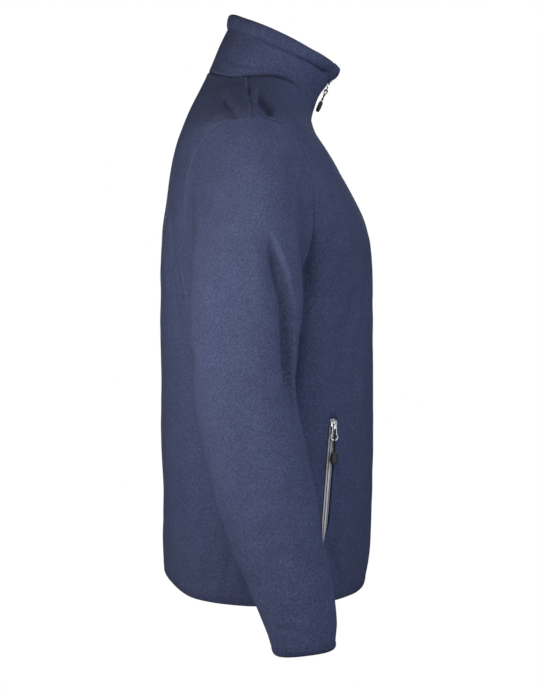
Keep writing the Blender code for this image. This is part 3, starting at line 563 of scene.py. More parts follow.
def speckled(name, roughness, grain, colours, bump, spread=0.2):
    """A material of two colours over a fine noise, which also roughens its face."""
    made, tree, shader = shader_of(name, roughness)
    noise = noise_of(tree, coordinate(tree, "Object"), *grain)
    dark, pale = colours
    colour = coloured(tree, noise, [(0.5 - spread, dark), (0.5 + spread, pale)])
    tree.links.new(colour, shader.inputs["Base Color"])
    tree.links.new(bump_of(tree, noise, *bump), shader.inputs["Normal"])
    return made, tree, shader


def fleece_of(name, deep, mid, pale):
    """Brushed microfleece: a mottled melange, a short pebbly nap and a soft haze at grazing angles."""
    made, tree, shader = shader_of(name, 0.9)
    place = coordinate(tree, "Object")
    grain = noise_of(tree, place, 420.0, 3.0, 0.65)
    melange = coloured(tree, grain, [(0.34, deep), (0.5, mid), (0.68, pale)])
    cloud = noise_of(tree, place, 38.0, 3.0, 0.6)
    clouding = coloured(tree, cloud, [(0.3, (0.93, 0.93, 0.94)), (0.7, (1.07, 1.07, 1.06))])
    mixed = tree.nodes.new("ShaderNodeMix")
    mixed.data_type = "RGBA"
    mixed.blend_type = "MULTIPLY"
    mixed.inputs["Factor"].default_value = 1.0
    tree.links.new(melange, mixed.inputs["A"])
    tree.links.new(clouding, mixed.inputs["B"])
    tree.links.new(mixed.outputs["Result"], shader.inputs["Base Color"])
    pebble = bump_of(tree, noise_of(tree, place, 300.0, 2.0), 0.0011, 0.55)
    nap = bump_of(tree, noise_of(tree, place, 1150.0, 2.0, 0.7), 0.0004, 0.5, pebble)
    tree.links.new(nap, shader.inputs["Normal"])
    shader.inputs["Specular IOR Level"].default_value = 0.2
    shader.inputs["Sheen Weight"].default_value = 0.02
    shader.inputs["Sheen Roughness"].default_value = 0.55
    shader.inputs["Sheen Tint"].default_value = (0.62, 0.68, 0.95, 1.0)
    return made


NAVY = fleece_of("navy_fleece", (0.041, 0.052, 0.118), (0.057, 0.070, 0.146), (0.081, 0.097, 0.190))


def skinned(name, net, normals, material, closed=False):
    """A mesh over a net of points, with a map in metres. The faces look along the normals."""
    columns, rows = net.shape[1] - 1, net.shape[0] - 1
    grid = bmesh.new()
    bmesh.ops.create_grid(grid, x_segments=columns, y_segments=rows, size=0.5)
    grid.verts.index_update()
    spots = [(round((v.co.y + 0.5) * rows), round((v.co.x + 0.5) * columns)) for v in grid.verts]
    for vertex, spot in zip(grid.verts, spots):
        vertex.co = net[spot]
    layer = grid.loops.layers.uv.new("UVMap")
    chart = np.stack([run(net, 1), run(net, 0)], axis=2)
    for face in grid.faces:
        for loop in face.loops:
            loop[layer].uv = chart[spots[loop.vert.index]]
    grid.normal_update()
    grid.faces.ensure_lookup_table()
    middle = grid.faces[len(grid.faces) // 2]
    if middle.normal.dot(Vector(normals[spots[middle.verts[0].index]])) < 0:
        bmesh.ops.reverse_faces(grid, faces=grid.faces)
    if closed:
        bmesh.ops.remove_doubles(grid, verts=grid.verts, dist=1e-6)
    mesh = bpy.data.meshes.new(name)
    grid.to_mesh(mesh)
    grid.free()
    mesh.shade_smooth()
    mesh.materials.append(material)
    return linked(name, mesh)


def thickened(cloth, thickness=WALL):
    """Gives cloth its thickness, inwards from its outer face."""
    wall = cloth.modifiers.new("wall", "SOLIDIFY")
    wall.thickness = thickness
    wall.offset = -1.0
    return cloth


def applied(cloth):
    """Makes a piece's modifiers part of its mesh."""
    ready = cloth.evaluated_get(bpy.context.evaluated_depsgraph_get())
    cloth.data = bpy.data.meshes.new_from_object(ready)
    cloth.modifiers.clear()
    return cloth


def repeated(name, one, spots, material):
    """One mesh that holds a copy of a small shape at each of many places, given as matrices."""
    corners = np.array([vertex.co for vertex in one.verts])
    one.verts.index_update()
    faces = [[vertex.index for vertex in face.verts] for face in one.faces]
    spots = np.array([np.array(spot) for spot in spots])
    moved = np.einsum("nij,kj->nki", spots[:, :3, :3], corners) + spots[:, None, :3, 3]
    starts = np.arange(len(spots)) * len(corners)
    mesh = bpy.data.meshes.new(name)
    polygons = [[int(start) + corner for corner in face] for start in starts for face in faces]
    mesh.from_pydata(moved.reshape(-1, 3).tolist(), [], polygons)
    mesh.shade_smooth()
    mesh.materials.append(material)
    return linked(name, mesh)


def values_at(where, reach, values):
    """Points or ways at some places of a line, from those at given lengths along it."""
    return np.stack([np.interp(where, reach, values[:, k]) for k in range(3)], axis=-1)


def steps_along(points, normals, pitch):
    """Frames set out at a pitch along a line: x across it, y along it and z out of the cloth."""
    reach = np.insert(np.cumsum(np.linalg.norm(np.diff(points, axis=0), axis=1)), 0, 0.0)
    where = np.arange(pitch / 2, reach[-1], pitch)
    ahead = values_at(where + pitch / 4, reach, points)
    along = unit(ahead - values_at(where - pitch / 4, reach, points))
    out = unit(values_at(where, reach, normals))
    out = unit(out - along * np.sum(out * along, axis=1, keepdims=True))
    frames = np.tile(np.eye(4), (len(where), 1, 1))
    frames[:, :3, 0] = np.cross(along, out)
    frames[:, :3, 1] = along
    frames[:, :3, 2] = out
    frames[:, :3, 3] = values_at(where, reach, points)
    return frames


def line_beside(net, distances, offset):
    """The line on a net that keeps this distance from where the distances are 0, row by row."""
    normals = outward(net)
    points, outs = [], []
    for row in range(net.shape[0]):
        order = np.argsort(distances[row])
        near = distances[row][order]
        points.append(values_at(offset, near, net[row][order]))
        outs.append(values_at(offset, near, normals[row][order]))
    return np.array(points), np.array(outs)


THREAD_HALF = (0.00030, 0.00115, 0.00022)  # half sizes of a stitch: across, along and out
STITCH_PITCH = 0.0029
THREAD_COLOURS = ((0.050, 0.062, 0.135), (0.085, 0.100, 0.195))
thread, _tree, thread_shader = speckled("navy_thread", 0.6, (900.0,), THREAD_COLOURS, (0.0002,))
thread_shader.inputs["Sheen Weight"].default_value = 0.2


def sewn(name, lines):
    """Rows of stitches along lines of points and normals, half sunk in the cloth."""
    stitch = bmesh.new()
    bmesh.ops.create_uvsphere(stitch, u_segments=6, v_segments=4, radius=1.0)
    bmesh.ops.scale(stitch, verts=stitch.verts, vec=THREAD_HALF)
    frames = np.concatenate([steps_along(points, normals, STITCH_PITCH) for points, normals in lines])
    made = repeated(name, stitch, frames, thread)
    stitch.free()
    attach(made, "jacket")
    return made


POCKET_TOP = (-0.1053, -0.4400)  # y and z of the pocket zip's two ends
POCKET_FOOT = (-0.0922, -0.5990)
POCKET_HALF_WIDTH = 0.0052
POCKET_TAPER = 0.17  # part of the slit's length over which its lips close at the foot
POCKET_ROWS = 60
SLIT_RISE = 0.005  # how far the block that cuts the slit stands out of the cloth
SLIT_THICKNESS = 0.013


def pocket_strip(half_width, overrun):
    """A strip along the pocket's line. u crosses it and v runs from its top to its foot."""

    def place(u, v):
        along = v * (1 + 2 * overrun) - overrun
        y = POCKET_TOP[0] + along * (POCKET_FOOT[0] - POCKET_TOP[0])
        z = POCKET_TOP[1] + along * (POCKET_FOOT[1] - POCKET_TOP[1])
        t, angle = torso_at(y, z)
        row = table_at(TORSO, t)
        per_radian = np.linalg.norm(ring(row, angle + STEP) - ring(row, angle), axis=-1) / STEP
        closing = np.clip((1 - along) / POCKET_TAPER, 0.12, 1.0)
        return skin(TORSO, t, angle + (2 * u - 1) * half_width * closing / per_radian)

    return place


pocket_line = pocket_strip(0.0, 0.0)(np.full(41, 0.5), np.linspace(0, 1, 41))[0]


def lip_rise(net, angle):
    """The cloth's edges stand up along the pocket's zip, and sag a little further out in front of
    its lower half."""
    gaps = np.linalg.norm(net[..., None, :] - pocket_line, axis=-1)
    spot, distance = gaps.argmin(axis=-1), gaps.min(axis=-1)
    line_angle = torso_at(pocket_line[:, 1], pocket_line[:, 2])[1]
    forward = angle > np.interp(net[..., 2], pocket_line[::-1, 2], line_angle[::-1])
    low = share(spot, 6, 18) * forward
    lip = 0.0007 * (1 - low) * hump(distance, 0.0021, POCKET_HALF_WIDTH + 0.0033)
    lip += 0.0017 * low * hump(distance, 0.0036, POCKET_HALF_WIDTH + 0.0012)
    lip -= 0.0006 * hump(distance, 0.0012, POCKET_HALF_WIDTH)
    return lip - 0.0026 * low * hump(distance, 0.0055, 0.0140)


def hem_drop(angle, z):
    """How far the hem sags on either side of the centre back, less with height above it."""
    from_corner = np.degrees(angle) + 44
    sag = hump(from_corner, np.where(from_corner < 0, 15, 19))
    return 0.0050 * share(z, -0.608, -0.658) ** 2 * sag


def tip_dip(net, to_armhole):
    """How much lower the cloth's edge lies at the shoulder's tip, where the cap begins."""
    return 0.0014 * hump(net[..., 2], 0.010, -0.060) * hump(to_armhole, 0.006)


def strip_net(place, columns, rows, depth, side=1.0):
    """The points and normals of a strip, some depth below the cloth's face."""
    u, v = np.meshgrid(np.linspace(0, 1, columns + 1), np.linspace(0, 1, rows + 1))
    points, normals = place(u, v)
    return mirrored(points - normals * depth, side), mirrored(normals, side)


def side_seam_rise(v, distance):
    """The side seams and the armhole's dive less deeply along the shoulder."""
    at_shoulder = np.clip(v * PANEL_ROWS - SIDE_ROWS - ARMHOLE_ROWS + 0.5, 0, 1)
    return (0.7 - 0.35 * at_shoulder) * seam_rise(distance)


FRONT_LENGTH = 0.33  # of a front's widest row, which sets its net
BACK_LENGTH = 0.56
PANEL_HEIGHT = 0.66
front_us = cell_edges(FRONT_LENGTH, finer=[(0.165, 0.225, 0.0016)])
panel_vs = cell_edges(PANEL_HEIGHT)
for name, side in SIDES:
    u, v = np.meshgrid(front_us, panel_vs)
    t, edge = panel_net(v, True, u)
    start = angle_at_x(TORSO, t, ZIP_GAP)
    angle = start + u * (edge - start)
    net = ring(table_at(TORSO, t), angle)
    normals = outward(net)
    from_zip, up = run(net, 1), run(net, 0)
    to_side = from_zip[:, -1:] - from_zip
    to_neck = up[-1:] - up
    rise = torso_fold(net, angle, side) + side_seam_rise(v, to_side)
    rise += 0.5 * seam_rise(to_neck) + 0.3 * seam_rise(up) + neck_blend(angle, to_neck)
    rise += pucker(to_side, up, 3 + int(side)) + 1.6 * pucker(from_zip, up, 7 + int(side))
    rise += zip_rise(from_zip)
    rise += unevenness(net, 11 + int(side)) + lip_rise(net, angle) - tip_dip(net, to_side)
    net = raised(net, normals, rise) * (side, 1.0, 1.0)
    front = thickened(skinned(f"front_cloth_{name}", net, outward(net), NAVY))
    slit_place = pocket_strip(POCKET_HALF_WIDTH + SEAM, 0.002)
    slit_net, ways = strip_net(slit_place, 1, POCKET_ROWS - 1, -SLIT_RISE, side)
    slit = applied(thickened(skinned("slit", slit_net, ways, NAVY), SLIT_THICKNESS))
    cut = front.modifiers.new("slit", "BOOLEAN")
    cut.operation = "DIFFERENCE"
    cut.object = slit
    applied(front)
    bpy.data.objects.remove(slit, do_unlink=True)
    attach(front, "jacket")
    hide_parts(f"front_{name}")
    edge_lines = [line_beside(net, to_side, SEAM_STITCHES), line_beside(net, from_zip, ZIP_STITCHES)]
    stitching = sewn(f"front_stitches_{name}", edge_lines)

back_us = cell_edges(BACK_LENGTH, finer=[(0.07, 0.14, 0.0021), (0.42, 0.49, 0.0021)])
u, v = np.meshgrid(back_us, panel_vs)
across = 2 * u - 1
t, edge = panel_net(v, False, np.abs(across))
angle = CENTRE_BACK + np.abs(across) * (-edge - CENTRE_BACK)
side = np.where(across < 0, -1.0, 1.0)
net = mirrored(ring(table_at(TORSO, t), angle), side)
from_right, up = run(net, 1), run(net, 0)
to_left = from_right[:, -1:] - from_right
to_side = np.minimum(from_right, to_left)
rise = torso_fold(net, angle, side) + side_seam_rise(v, to_side)
rise += 0.8 * seam_rise(up[-1:] - up) + 0.3 * seam_rise(up)
rise += pucker(to_side, up, 21) + unevenness(net, 22) - tip_dip(net, to_side)
net = raised(net, outward(net), rise)
net[..., 2] -= hem_drop(angle, net[..., 2])
back = thickened(skinned("back_cloth", net, outward(net), NAVY))
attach(back, "jacket")
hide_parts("back")
back_lines = [line_beside(net, distance, SEAM_STITCHES) for distance in (from_right, to_left)]
back_stitches = sewn("back_stitches", back_lines)

# Sleeves. Two set-in sleeves in the same fleece, one piece each, with the seam under the arm.
# The cap is eased into the armhole and sewn with a row of stitches on each side of the seam.
# The arm hangs a little forwards, so the cloth folds in front of the armpit and at the elbow.
SLEEVE = np.array([
    # z      x      y_back   y_front  half_x  pitch roll  power
    [-0.300, 0.252, 0.0727, -0.0650, 0.0560, 0.00, 0.30, 2.2],
    [-0.363, 0.262, 0.0702, -0.0570, 0.0560, 0.00, 0.16, 2.2],
    [-0.405, 0.269, 0.0671, -0.0570, 0.0560, 0.02, 0.12, 2.2],
    [-0.459, 0.277, 0.0560, -0.0670, 0.0550, 0.04, 0.12, 2.2],
    [-0.520, 0.286, 0.0411, -0.0800, 0.0530, 0.05, 0.12, 2.2],
    [-0.573, 0.294, 0.0224, -0.0901, 0.0480, 0.05, 0.12, 2.2],
    [-0.628, 0.302, -0.0006, -0.0997, 0.0420, 0.05, 0.10, 2.2],
    [-0.668, 0.307, -0.0180, -0.1040, 0.0370, 0.06, 0.05, 2.3],
    [-0.700, 0.310, -0.0290, -0.1020, 0.0330, 0.07, 0.02, 2.3],
])
CAP = 1 / 3  # part of the sleeve's length that the cap takes
CAP_START_PULL = 0.9  # how far the cloth runs on past the armhole before it turns down
CAP_END_PULL = 0.8
SLEEVE_GIRTH = 0.36
SLEEVE_LENGTH = 0.62
SLEEVE_RADIUS = 0.062
SLEEVE_FOLDS = [
    # side, three points (angle, height), width, rise
    (-1, 28, -195, 58, -270, 78, -345, 10, 1.4),
    (-1, 25, -250, 44, -315, 62, -380, 12, -2.4),
    (-1, 60, -375, 62, -400, 70, -430, 12, -3),
    (-1, -150, -330, -95, -360, -60, -365, 14, -3),
    (-1, 75, -590, 35, -600, 10, -585, 16, -2),
    (1, 27, -200, 56, -270, 76, -340, 11, 1.4),
    (1, 26, -245, 45, -305, 60, -385, 12, -2.4),
    (1, 62, -380, 66, -405, 76, -425, 13, -2.8),
    (1, -150, -335, -100, -350, -65, -370, 14, -3),
    (1, 70, -575, 40, -590, 12, -580, 15, -2.2),
    # The upper edge of the crease in front
    (-1, 24, -210, 40, -235, 52, -275, 5, 1),
    (-1, 8, -205, 12, -262, 19, -325, 8, 1.1),
    (-1, 66, -300, 72, -350, 76, -410, 10, 1.4),
    (1, 23, -214, 39, -240, 50, -276, 5, 1),
    (1, 10, -215, 14, -270, 20, -318, 8, 1),
    # Dents behind the armhole
    (-1, -90, -150, -84, -172, -95, -196, 6, -1.9),
    (-1, -78, -140, -74, -158, -80, -178, 5, 1.1),
    (1, -88, -155, -82, -178, -92, -205, 6, -1.7),
    # The fold's end above the elbow, and creases inside the elbow
    (-1, 54, -384, 64, -402, 76, -424, 6, -1.6),
    (-1, 92, -375, 110, -398, 138, -392, 8, -1.8),
    (-1, 96, -420, 115, -436, 140, -430, 8, -1.5),
    (1, 90, -382, 112, -400, 136, -398, 8, -1.7),
    (1, 94, -428, 112, -440, 142, -438, 8, -1.4),
    # The slack of the forearm, and wrinkles above the cuff
    (-1, 88, -535, 90, -562, 88, -590, 20, -2),
    (1, 88, -530, 90, -556, 88, -585, 20, -1.8),
    (-1, -26, -594, -8, -588, 13, -579, 10, -1.6),
    (-1, -60, -520, -40, -528, -22, -518, 12, -1.1),
    (-1, -36, -669, -10, -666, 14, -674, 4, -0.9),
    (-1, -40, -661, -10, -657, 16, -665, 4.5, 0.8),
    (-1, 40, -655, 55, -662, 72, -658, 5, -0.9),
    (1, -20, -588, -4, -584, 16, -577, 10, -1.5),
    (1, -58, -508, -38, -516, -20, -510, 12, -1.1),
    (1, -34, -664, -8, -668, 18, -672, 4, -0.9),
    (1, 36, -650, 52, -658, 74, -656, 5, -0.9),
    (-1, 150, -560, 165, -575, 178, -570, 10, -1.3),
    (1, 148, -552, 163, -568, 178, -566, 10, -1.3),
]
SLEEVE_CREASES = [
    # side, three points (angle, height), width, rise
    (-1, 20, -206, 57, -285, 74, -412, 16.5, -16.5),
    (1, 19, -210, 56, -282, 72, -402, 16.5, -15),
]
SLEEVE_STEEP = 0.15


def tube(turn, q):
    """Points on the sleeve's rings, q from the upper arm (0) to the cuff's lower edge (1)."""
    z, x, y_back, y_front, half_x, pitch, roll, power = np.moveaxis(table_at(SLEEVE, q), -1, 0)
    outward_part, forward_part = np.cos(turn), np.sin(turn)
    size = round_off(outward_part, forward_part, power)
    middle, half_y = (y_back + y_front) / 2, (y_back - y_front) / 2
    across = half_x * size * outward_part
    ahead = half_y * size * forward_part
    return np.stack([x + across, middle - ahead, z + roll * across + pitch * ahead], axis=-1)


def sleeve_base(turn, s):
    """The sleeve's surface: the cap blends the armhole's edge into the tube below it."""
    cap = np.clip(s / CAP, 0, 1)[..., None]
    q = np.clip((s - CAP) / (1 - CAP), 0, 1)
    lap = LAP / 2 + 0.0010 * hump(turn, 0.16)  # the cap laps further over the tip
    start, normal = skin(TORSO, *armhole(turn, lap))
    ahead = skin(TORSO, *armhole(turn + STEP, lap))[0]
    into_hole = unit(np.cross(normal, ahead - start))
    top = tube(turn, np.zeros(turn.shape))
    down = unit(tube(turn, np.full(turn.shape, STEP)) - top)
    span = np.linalg.norm(top - start, axis=-1, keepdims=True)
    lead_in = cap * (1 - cap) ** 2 * CAP_START_PULL
    lead_out = cap * cap * (1 - cap) * CAP_END_PULL
    crown = start + eased(cap) * (top - start) + span * (lead_in * into_hole - lead_out * down)
    return np.where(s[..., None] > CAP, tube(turn, q), crown)


CUFF_RING = SLEEVE[-2, 0] - SLEEVE[-1, 0]  # height of the last ring's stretch
SLEEVE_END = 1 - (1 - CAP) * (BINDING + SEAM) / CUFF_RING / (len(SLEEVE) - 1)
SLEEVE_TUCK = SLEEVE_END + (1 - HEM_TUCK) * (1 - SLEEVE_END)

sleeve_us = cell_edges(SLEEVE_GIRTH, finer=[(0.188, 0.258, 0.0014)])
sleeve_vs = cell_edges(SLEEVE_LENGTH, finer=[(0.07, 0.36, 0.0030)])
for name, side in SIDES:
    u, v = np.meshgrid(sleeve_us, sleeve_vs)
    turn = 2 * math.pi * u - math.pi
    net = sleeve_base(turn, v * SLEEVE_TUCK)
    normals = outward(net, closed=True)
    around, down = run(net, 1), run(net, 0)
    to_cuff = down[-1:] - down
    to_seam = np.minimum(around, around[:, -1:] - around)
    spots = side, turn, net[..., 2], SLEEVE_RADIUS
    folds = fold_height(SLEEVE_FOLDS, *spots) + fold_height(SLEEVE_CREASES, *spots, SLEEVE_STEEP)
    rise = folds * np.clip(8 * v, 0, 1)
    rise += seam_rise(down) + 0.3 * seam_rise(to_cuff) + 0.8 * seam_rise(to_seam)
    ease = np.clip(down / 0.008, 0, 1)  # the seam's swells start a little way off the seam
    rise += ease * pucker(down, around, 31 + int(side)) + pucker(to_cuff, around, 35 + int(side))
    rise += unevenness(net, 41 + int(side)) * np.clip(down / 0.01, 0, 1)
    net = raised(net, normals, rise)
    net[:, -1] = net[:, 0]
    points, outs = line_beside(net.transpose(1, 0, 2), down.T, SEAM_STITCHES)
    armhole_lines = [(mirrored(points, side), mirrored(outs, side))]
    net = mirrored(net, side)
    sleeve = thickened(skinned(f"sleeve_cloth_{name}", net, outward(net, closed=True), NAVY, closed=True))
    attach(sleeve, "jacket")
    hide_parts(f"sleeve_{name}")
    stitching = sewn(f"sleeve_stitches_{name}", armhole_lines)

# Collar. A stand collar cut in one strip of the same fleece and sewn to the neckline. Its top
# is turned over a soft core into a roll, which turns down beside the zip in two blunt noses.
COLLAR = np.array([
    TORSO[-1],
    [-0.0180, 0.0260, 0.0470, -0.0905, -0.014, 0.0470, 0.071, 2.2, 2.2, 2.0, 1.6],
    [0.0124, 0.0448, 0.0765, -0.1065, -0.037, 0.0335, 0.067, 2.1, 2.1, 1.0, 1.0],
    [0.0245, 0.0612, 0.0965, -0.1190, -0.046, 0.0295, 0.066, 2.1, 2.1, 1.0, 1.0],
])
COLLAR_LENGTH = 0.44
COLLAR_HEIGHT = 0.075
COLLAR_RADIUS = 0.07
COLLAR_SCALE = 0.10  # height of the collar's whole table, for its creases
RIM = 2 / 3  # part of the table at which the roll starts
COLLAR_TUCK = 0.02  # how far the cloth runs on under the roll
ROLL_HALF_THICKNESS = 0.0043
ROLL_NOSE = 0.0045
NOSE_FROM = 0.029
NOSE_FULL = 0.014
NOSE_DROP = 0.125
ROLL_SIDES = 28
ROLL_END = 0.0042  # length over which the roll's ends are rounded
COLLAR_FOLDS = [
    # side, three points (angle, height), width, rise
    (-1, -24, 15, 6, 12.5, 36, 10, 4.8, 1.8),
    (-1, -12, 1, 16, 0, 47, 5, 4.2, -2.4),
    (-1, -28, 21.5, -12, 22.5, 3, 19, 2.8, -2),
    (-1, -58, 21.5, -38, 14, -14, 16.5, 3.6, 1.9),
    (-1, -26, 61, -4, 59, 16, 59, 3, 0.8),
    (-1, -70, 10, -60, 18, -50, 13, 5, -1.2),
    (1, -20, 14, 8, 13.5, 38, 11.5, 5, 1.3),
    (1, -14, 1, 14, 0, 44, 4, 4.2, -2.1),
    (1, -30, 23, -16, 21, -4, 20, 2.8, -1),
    (1, -62, 19, -46, 15, -26, 17, 3.8, 0.9),
    (1, -72, 35, -52, 30, -34, 34, 6, -0.9),
    (-1, 40, 30, 54, 34, 68, 28, 6, -0.8),
    (1, 44, 34, 56, 37, 70, 32, 6, -0.8),
]


def round_neck(u, table, t, gap):
    """Angle and mirror sign for u from the right front edge (0) round the back to the left (1)."""
    across = 2 * u - 1
    behind = np.clip(2 * np.abs(across), 0, 1)
    before = np.clip(2 * np.abs(across) - 1, 0, 1)
    angle = CENTRE_BACK * (1 - behind) + before * angle_at_x(table, t, gap)
    return angle, np.where(across < 0, -1.0, 1.0)


def rim(u, further=0.0):
    """Where the rolled edge starts: lower at the front ends, where it turns down the zip."""
    row = np.full(u.shape, RIM)
    angle, _mirror = round_neck(u, COLLAR, row, ZIP_GAP)
    x = ring(table_at(COLLAR, row), angle)[..., 0] - further
    near = eased(np.where(angle > 0, share(x, NOSE_FROM, NOSE_FULL), 0))
    return RIM - NOSE_DROP * near, near


def from_core(net):
    """The ways out from the middle line of a bar, whose net wraps round it row by row."""
    ways = net - net[:-1].mean(axis=0)
    return ways / np.maximum(np.linalg.norm(ways, axis=2, keepdims=True), 1e-9)


neck_us = cell_edges(COLLAR_LENGTH)
u, v = np.meshgrid(neck_us, cell_edges(COLLAR_HEIGHT))
roll_foot = rim(u)[0]
t = v * (roll_foot + COLLAR_TUCK)
angle, side = round_neck(u, COLLAR, t, ZIP_GAP)
net = mirrored(ring(table_at(COLLAR, t), angle), side)
around, up = run(net, 1), run(net, 0)
to_zip = np.minimum(around, around[:, -1:] - around)
rise = fold_height(COLLAR_FOLDS, side, angle, COLLAR_SCALE * t, COLLAR_RADIUS)
rise += 0.5 * seam_rise(up) + unevenness(net, 52) + neck_blend(angle, up)
below = COLLAR_SCALE * (roll_foot - t)  # depth below the roll's foot
nose = rim(u, 0.008)[1]
ahead = np.clip(np.sin(angle), 0, 1)
rise -= (0.0003 + 0.0031 * ahead) * (1 - nose) ** 2 * hump(below, 0.0028)
rise += 0.0027 * nose * hump(below, 0.0080)
rise += zip_rise(to_zip) + 1.4 * pucker(to_zip, up, 51)
net = raised(net, outward(net), rise)
collar = thickened(skinned("collar_cloth", net, outward(net), NAVY))
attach(collar, "jacket")
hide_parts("collar")
neck_line = line_beside(net.transpose(1, 0, 2), up.T, SEAM_STITCHES)
from_ends = (around, around[:, -1:] - around)
zip_lines = [line_beside(net, distance, ZIP_STITCHES) for distance in from_ends]
collar_stitches = sewn("collar_stitches", [neck_line] + zip_lines)

end_us = np.concatenate([[0, 0.12, 0.3, 0.55], np.linspace(0.8, 4, 6)]) * ROLL_END / 4 / COLLAR_LENGTH
middle_us = np.linspace(end_us[-1], 1 - end_us[-1], 260)[1:-1]
roll_us = np.concatenate([end_us, middle_us, 1 - end_us[::-1]])
u, v = np.meshgrid(roll_us, np.linspace(0, 1, ROLL_SIDES + 1))
section = 2 * math.pi * v
from_end = COLLAR_LENGTH * (0.5 - np.abs(u - 0.5))
shrink = np.sqrt(1 - (1 - np.clip(from_end / ROLL_END, 0, 1)) ** 2)
foot, nose = rim(u)
t = (1 + foot) / 2 + (1 - foot) / 2 * 0.98 * shrink * np.cos(section)
angle, side = round_neck(u, COLLAR, t, ZIP_GAP)
spots, ways = skin(COLLAR, t, angle)
out = 0.5 * ROLL_NOSE * nose - 0.0006
taper = 1 + 0.9 * nose * np.clip(-np.cos(section), 0, 1)  # a nose's foot runs out flat
bulge = boxy(np.sin(section), taper)
out = out + (ROLL_HALF_THICKNESS + 0.5 * ROLL_NOSE * nose) * shrink * bulge
roll_net = mirrored(spots + ways * out[..., None], side)
roll_net[-1] = roll_net[0]
roll_ways = from_core(roll_net)
roll_rise = unevenness(roll_net, 55)
notch = hump(np.abs(roll_net[..., 0]), 0.0017, NOSE_FROM + 0.0015)
roll_rise -= 0.0032 * notch * (roll_net[..., 1] < -0.08) * (np.cos(section) > -0.3)
roll_rise[-1] = roll_rise[0]
roll_net = raised(roll_net, roll_ways, roll_rise)
roll = skinned("collar_roll_cloth", roll_net, roll_ways, NAVY, closed=True)
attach(roll, "jacket")
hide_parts("collar_roll")

# Bindings. The hem and both cuffs are finished with a soft stretch edging of the same navy,
# folded over the cloth's edge and stitched down, a little darker than the fleece.
EDGING = fleece_of("navy_edging", (0.033, 0.042, 0.097), (0.046, 0.057, 0.122), (0.065, 0.079, 0.156))
BINDING_HALF_THICKNESS = 0.0018
BINDING_BOXY = 0.7
BINDING_FILL = 0.9  # part of its height that the binding's rounded section takes
CUFF_TURN_IN = 0.0018  # of the cuff's lower edge, towards the arm
CUFF_DROP = 0.0030  # of the cuff's edge where it hangs lowest, behind the arm
CUFF_LOWEST = -1.9  # the turn at which it does
BINDING_SIDES = 18
BINDING_CELLS = 300
CUFF_CELLS = 120


def rounded(section):
    """The two half sizes of a bar's section at an angle round it, with rounded corners."""
    return boxy(np.cos(section), BINDING_BOXY), boxy(np.sin(section), BINDING_BOXY)


def sleeve_skin(turn, s):
    """Points and outward normals of the sleeve without its folds."""
    around = sleeve_base(turn + STEP, s) - sleeve_base(turn - STEP, s)
    down = sleeve_base(turn, np.minimum(s + STEP, 1)) - sleeve_base(turn, np.maximum(s - STEP, 0))
    return sleeve_base(turn, s), unit(np.cross(around, down))


def edging(name, node, net, capped):
    """A binding: a net wrapped round its section, from points round (rows) and along (columns)."""
    ways = from_core(net)
    rise = 0.6 * unevenness(net, 61)
    rise[-1] = rise[0]
    if not capped:
        rise[:, -1] = rise[:, 0]
    net = raised(net, ways, rise)
    made = skinned(name, net, ways, EDGING, closed=True)
    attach(made, "jacket")
    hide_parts(node)
    return made


u, v = np.meshgrid(np.linspace(0, 1, BINDING_CELLS), np.linspace(0, 1, BINDING_SIDES + 1))
along, out = rounded(2 * math.pi * v)
hem_end = np.minimum(u, 1 - u)
shrink = np.where(hem_end < 1e-6, 0.0, np.where(hem_end < 1.5 / BINDING_CELLS, 0.75, 1.0))
t = HEM_ROW / 2 * (1 + BINDING_FILL * along * shrink)
angle, side = round_neck(u, TORSO, t, ZIP_GAP)
spots, ways = skin(TORSO, t, angle)
spots = spots + ways * (BINDING_HALF_THICKNESS * out * shrink - WALL / 2)[..., None]
spots[..., 2] -= hem_drop(angle, spots[..., 2])
edging("hem_binding_cloth", "hem_binding", mirrored(spots, side), True)
for name, side in SIDES:
    u, v = np.meshgrid(np.linspace(0, 1, CUFF_CELLS + 1), np.linspace(0, 1, BINDING_SIDES + 1))
    along, out = rounded(2 * math.pi * v)
    turn = 2 * math.pi * u - math.pi
    half = (1 - SLEEVE_END) / 2
    spots, ways = sleeve_skin(turn, 1 - half * (1 + BINDING_FILL * along))
    low = np.clip(-along, 0, 1)
    lift = BINDING_HALF_THICKNESS * out - WALL / 2 - CUFF_TURN_IN * low * low
    spots = spots + ways * lift[..., None]
    spots[..., 2] -= CUFF_DROP * low * (0.5 + 0.5 * np.cos(turn - CUFF_LOWEST))
    net = mirrored(spots, side)
    net[:, -1] = net[:, 0]
    edging(f"cuff_binding_cloth_{name}", f"cuff_binding_{name}", net, False)

# Front zip. A navy coil zip from the hem to the roll: two woven tapes sewn under the edges of
# the fronts and the collar, and between them the closed coil, whose turns show as short bars.
ZIP_COLLAR_ROWS = 8
ZIP_NET_ROWS = 5 * (PANEL_ROWS + ZIP_COLLAR_ROWS)
ZIP_TOP = 0.94  # where the chain ends, as a part of the collar's table
CHAIN_HALF = 0.0029
CHAIN_FRONT = 0.0008
CHAIN_THICKNESS = 0.0019
CORE_SINK = 0.0009  # how far the tapes' meeting edges lie below the coil's crowns
TAPE_INNER = 0.0024
TAPE_OUTER = 0.0130
TAPE_THICKNESS = 0.0010
TAPE_TOP = 0.54
COIL_PITCH = 0.0016
COIL_BAR = (0.00150, 0.00058, 0.00075)  # half sizes of a turn: across, along and out
COIL_X = 0.00125


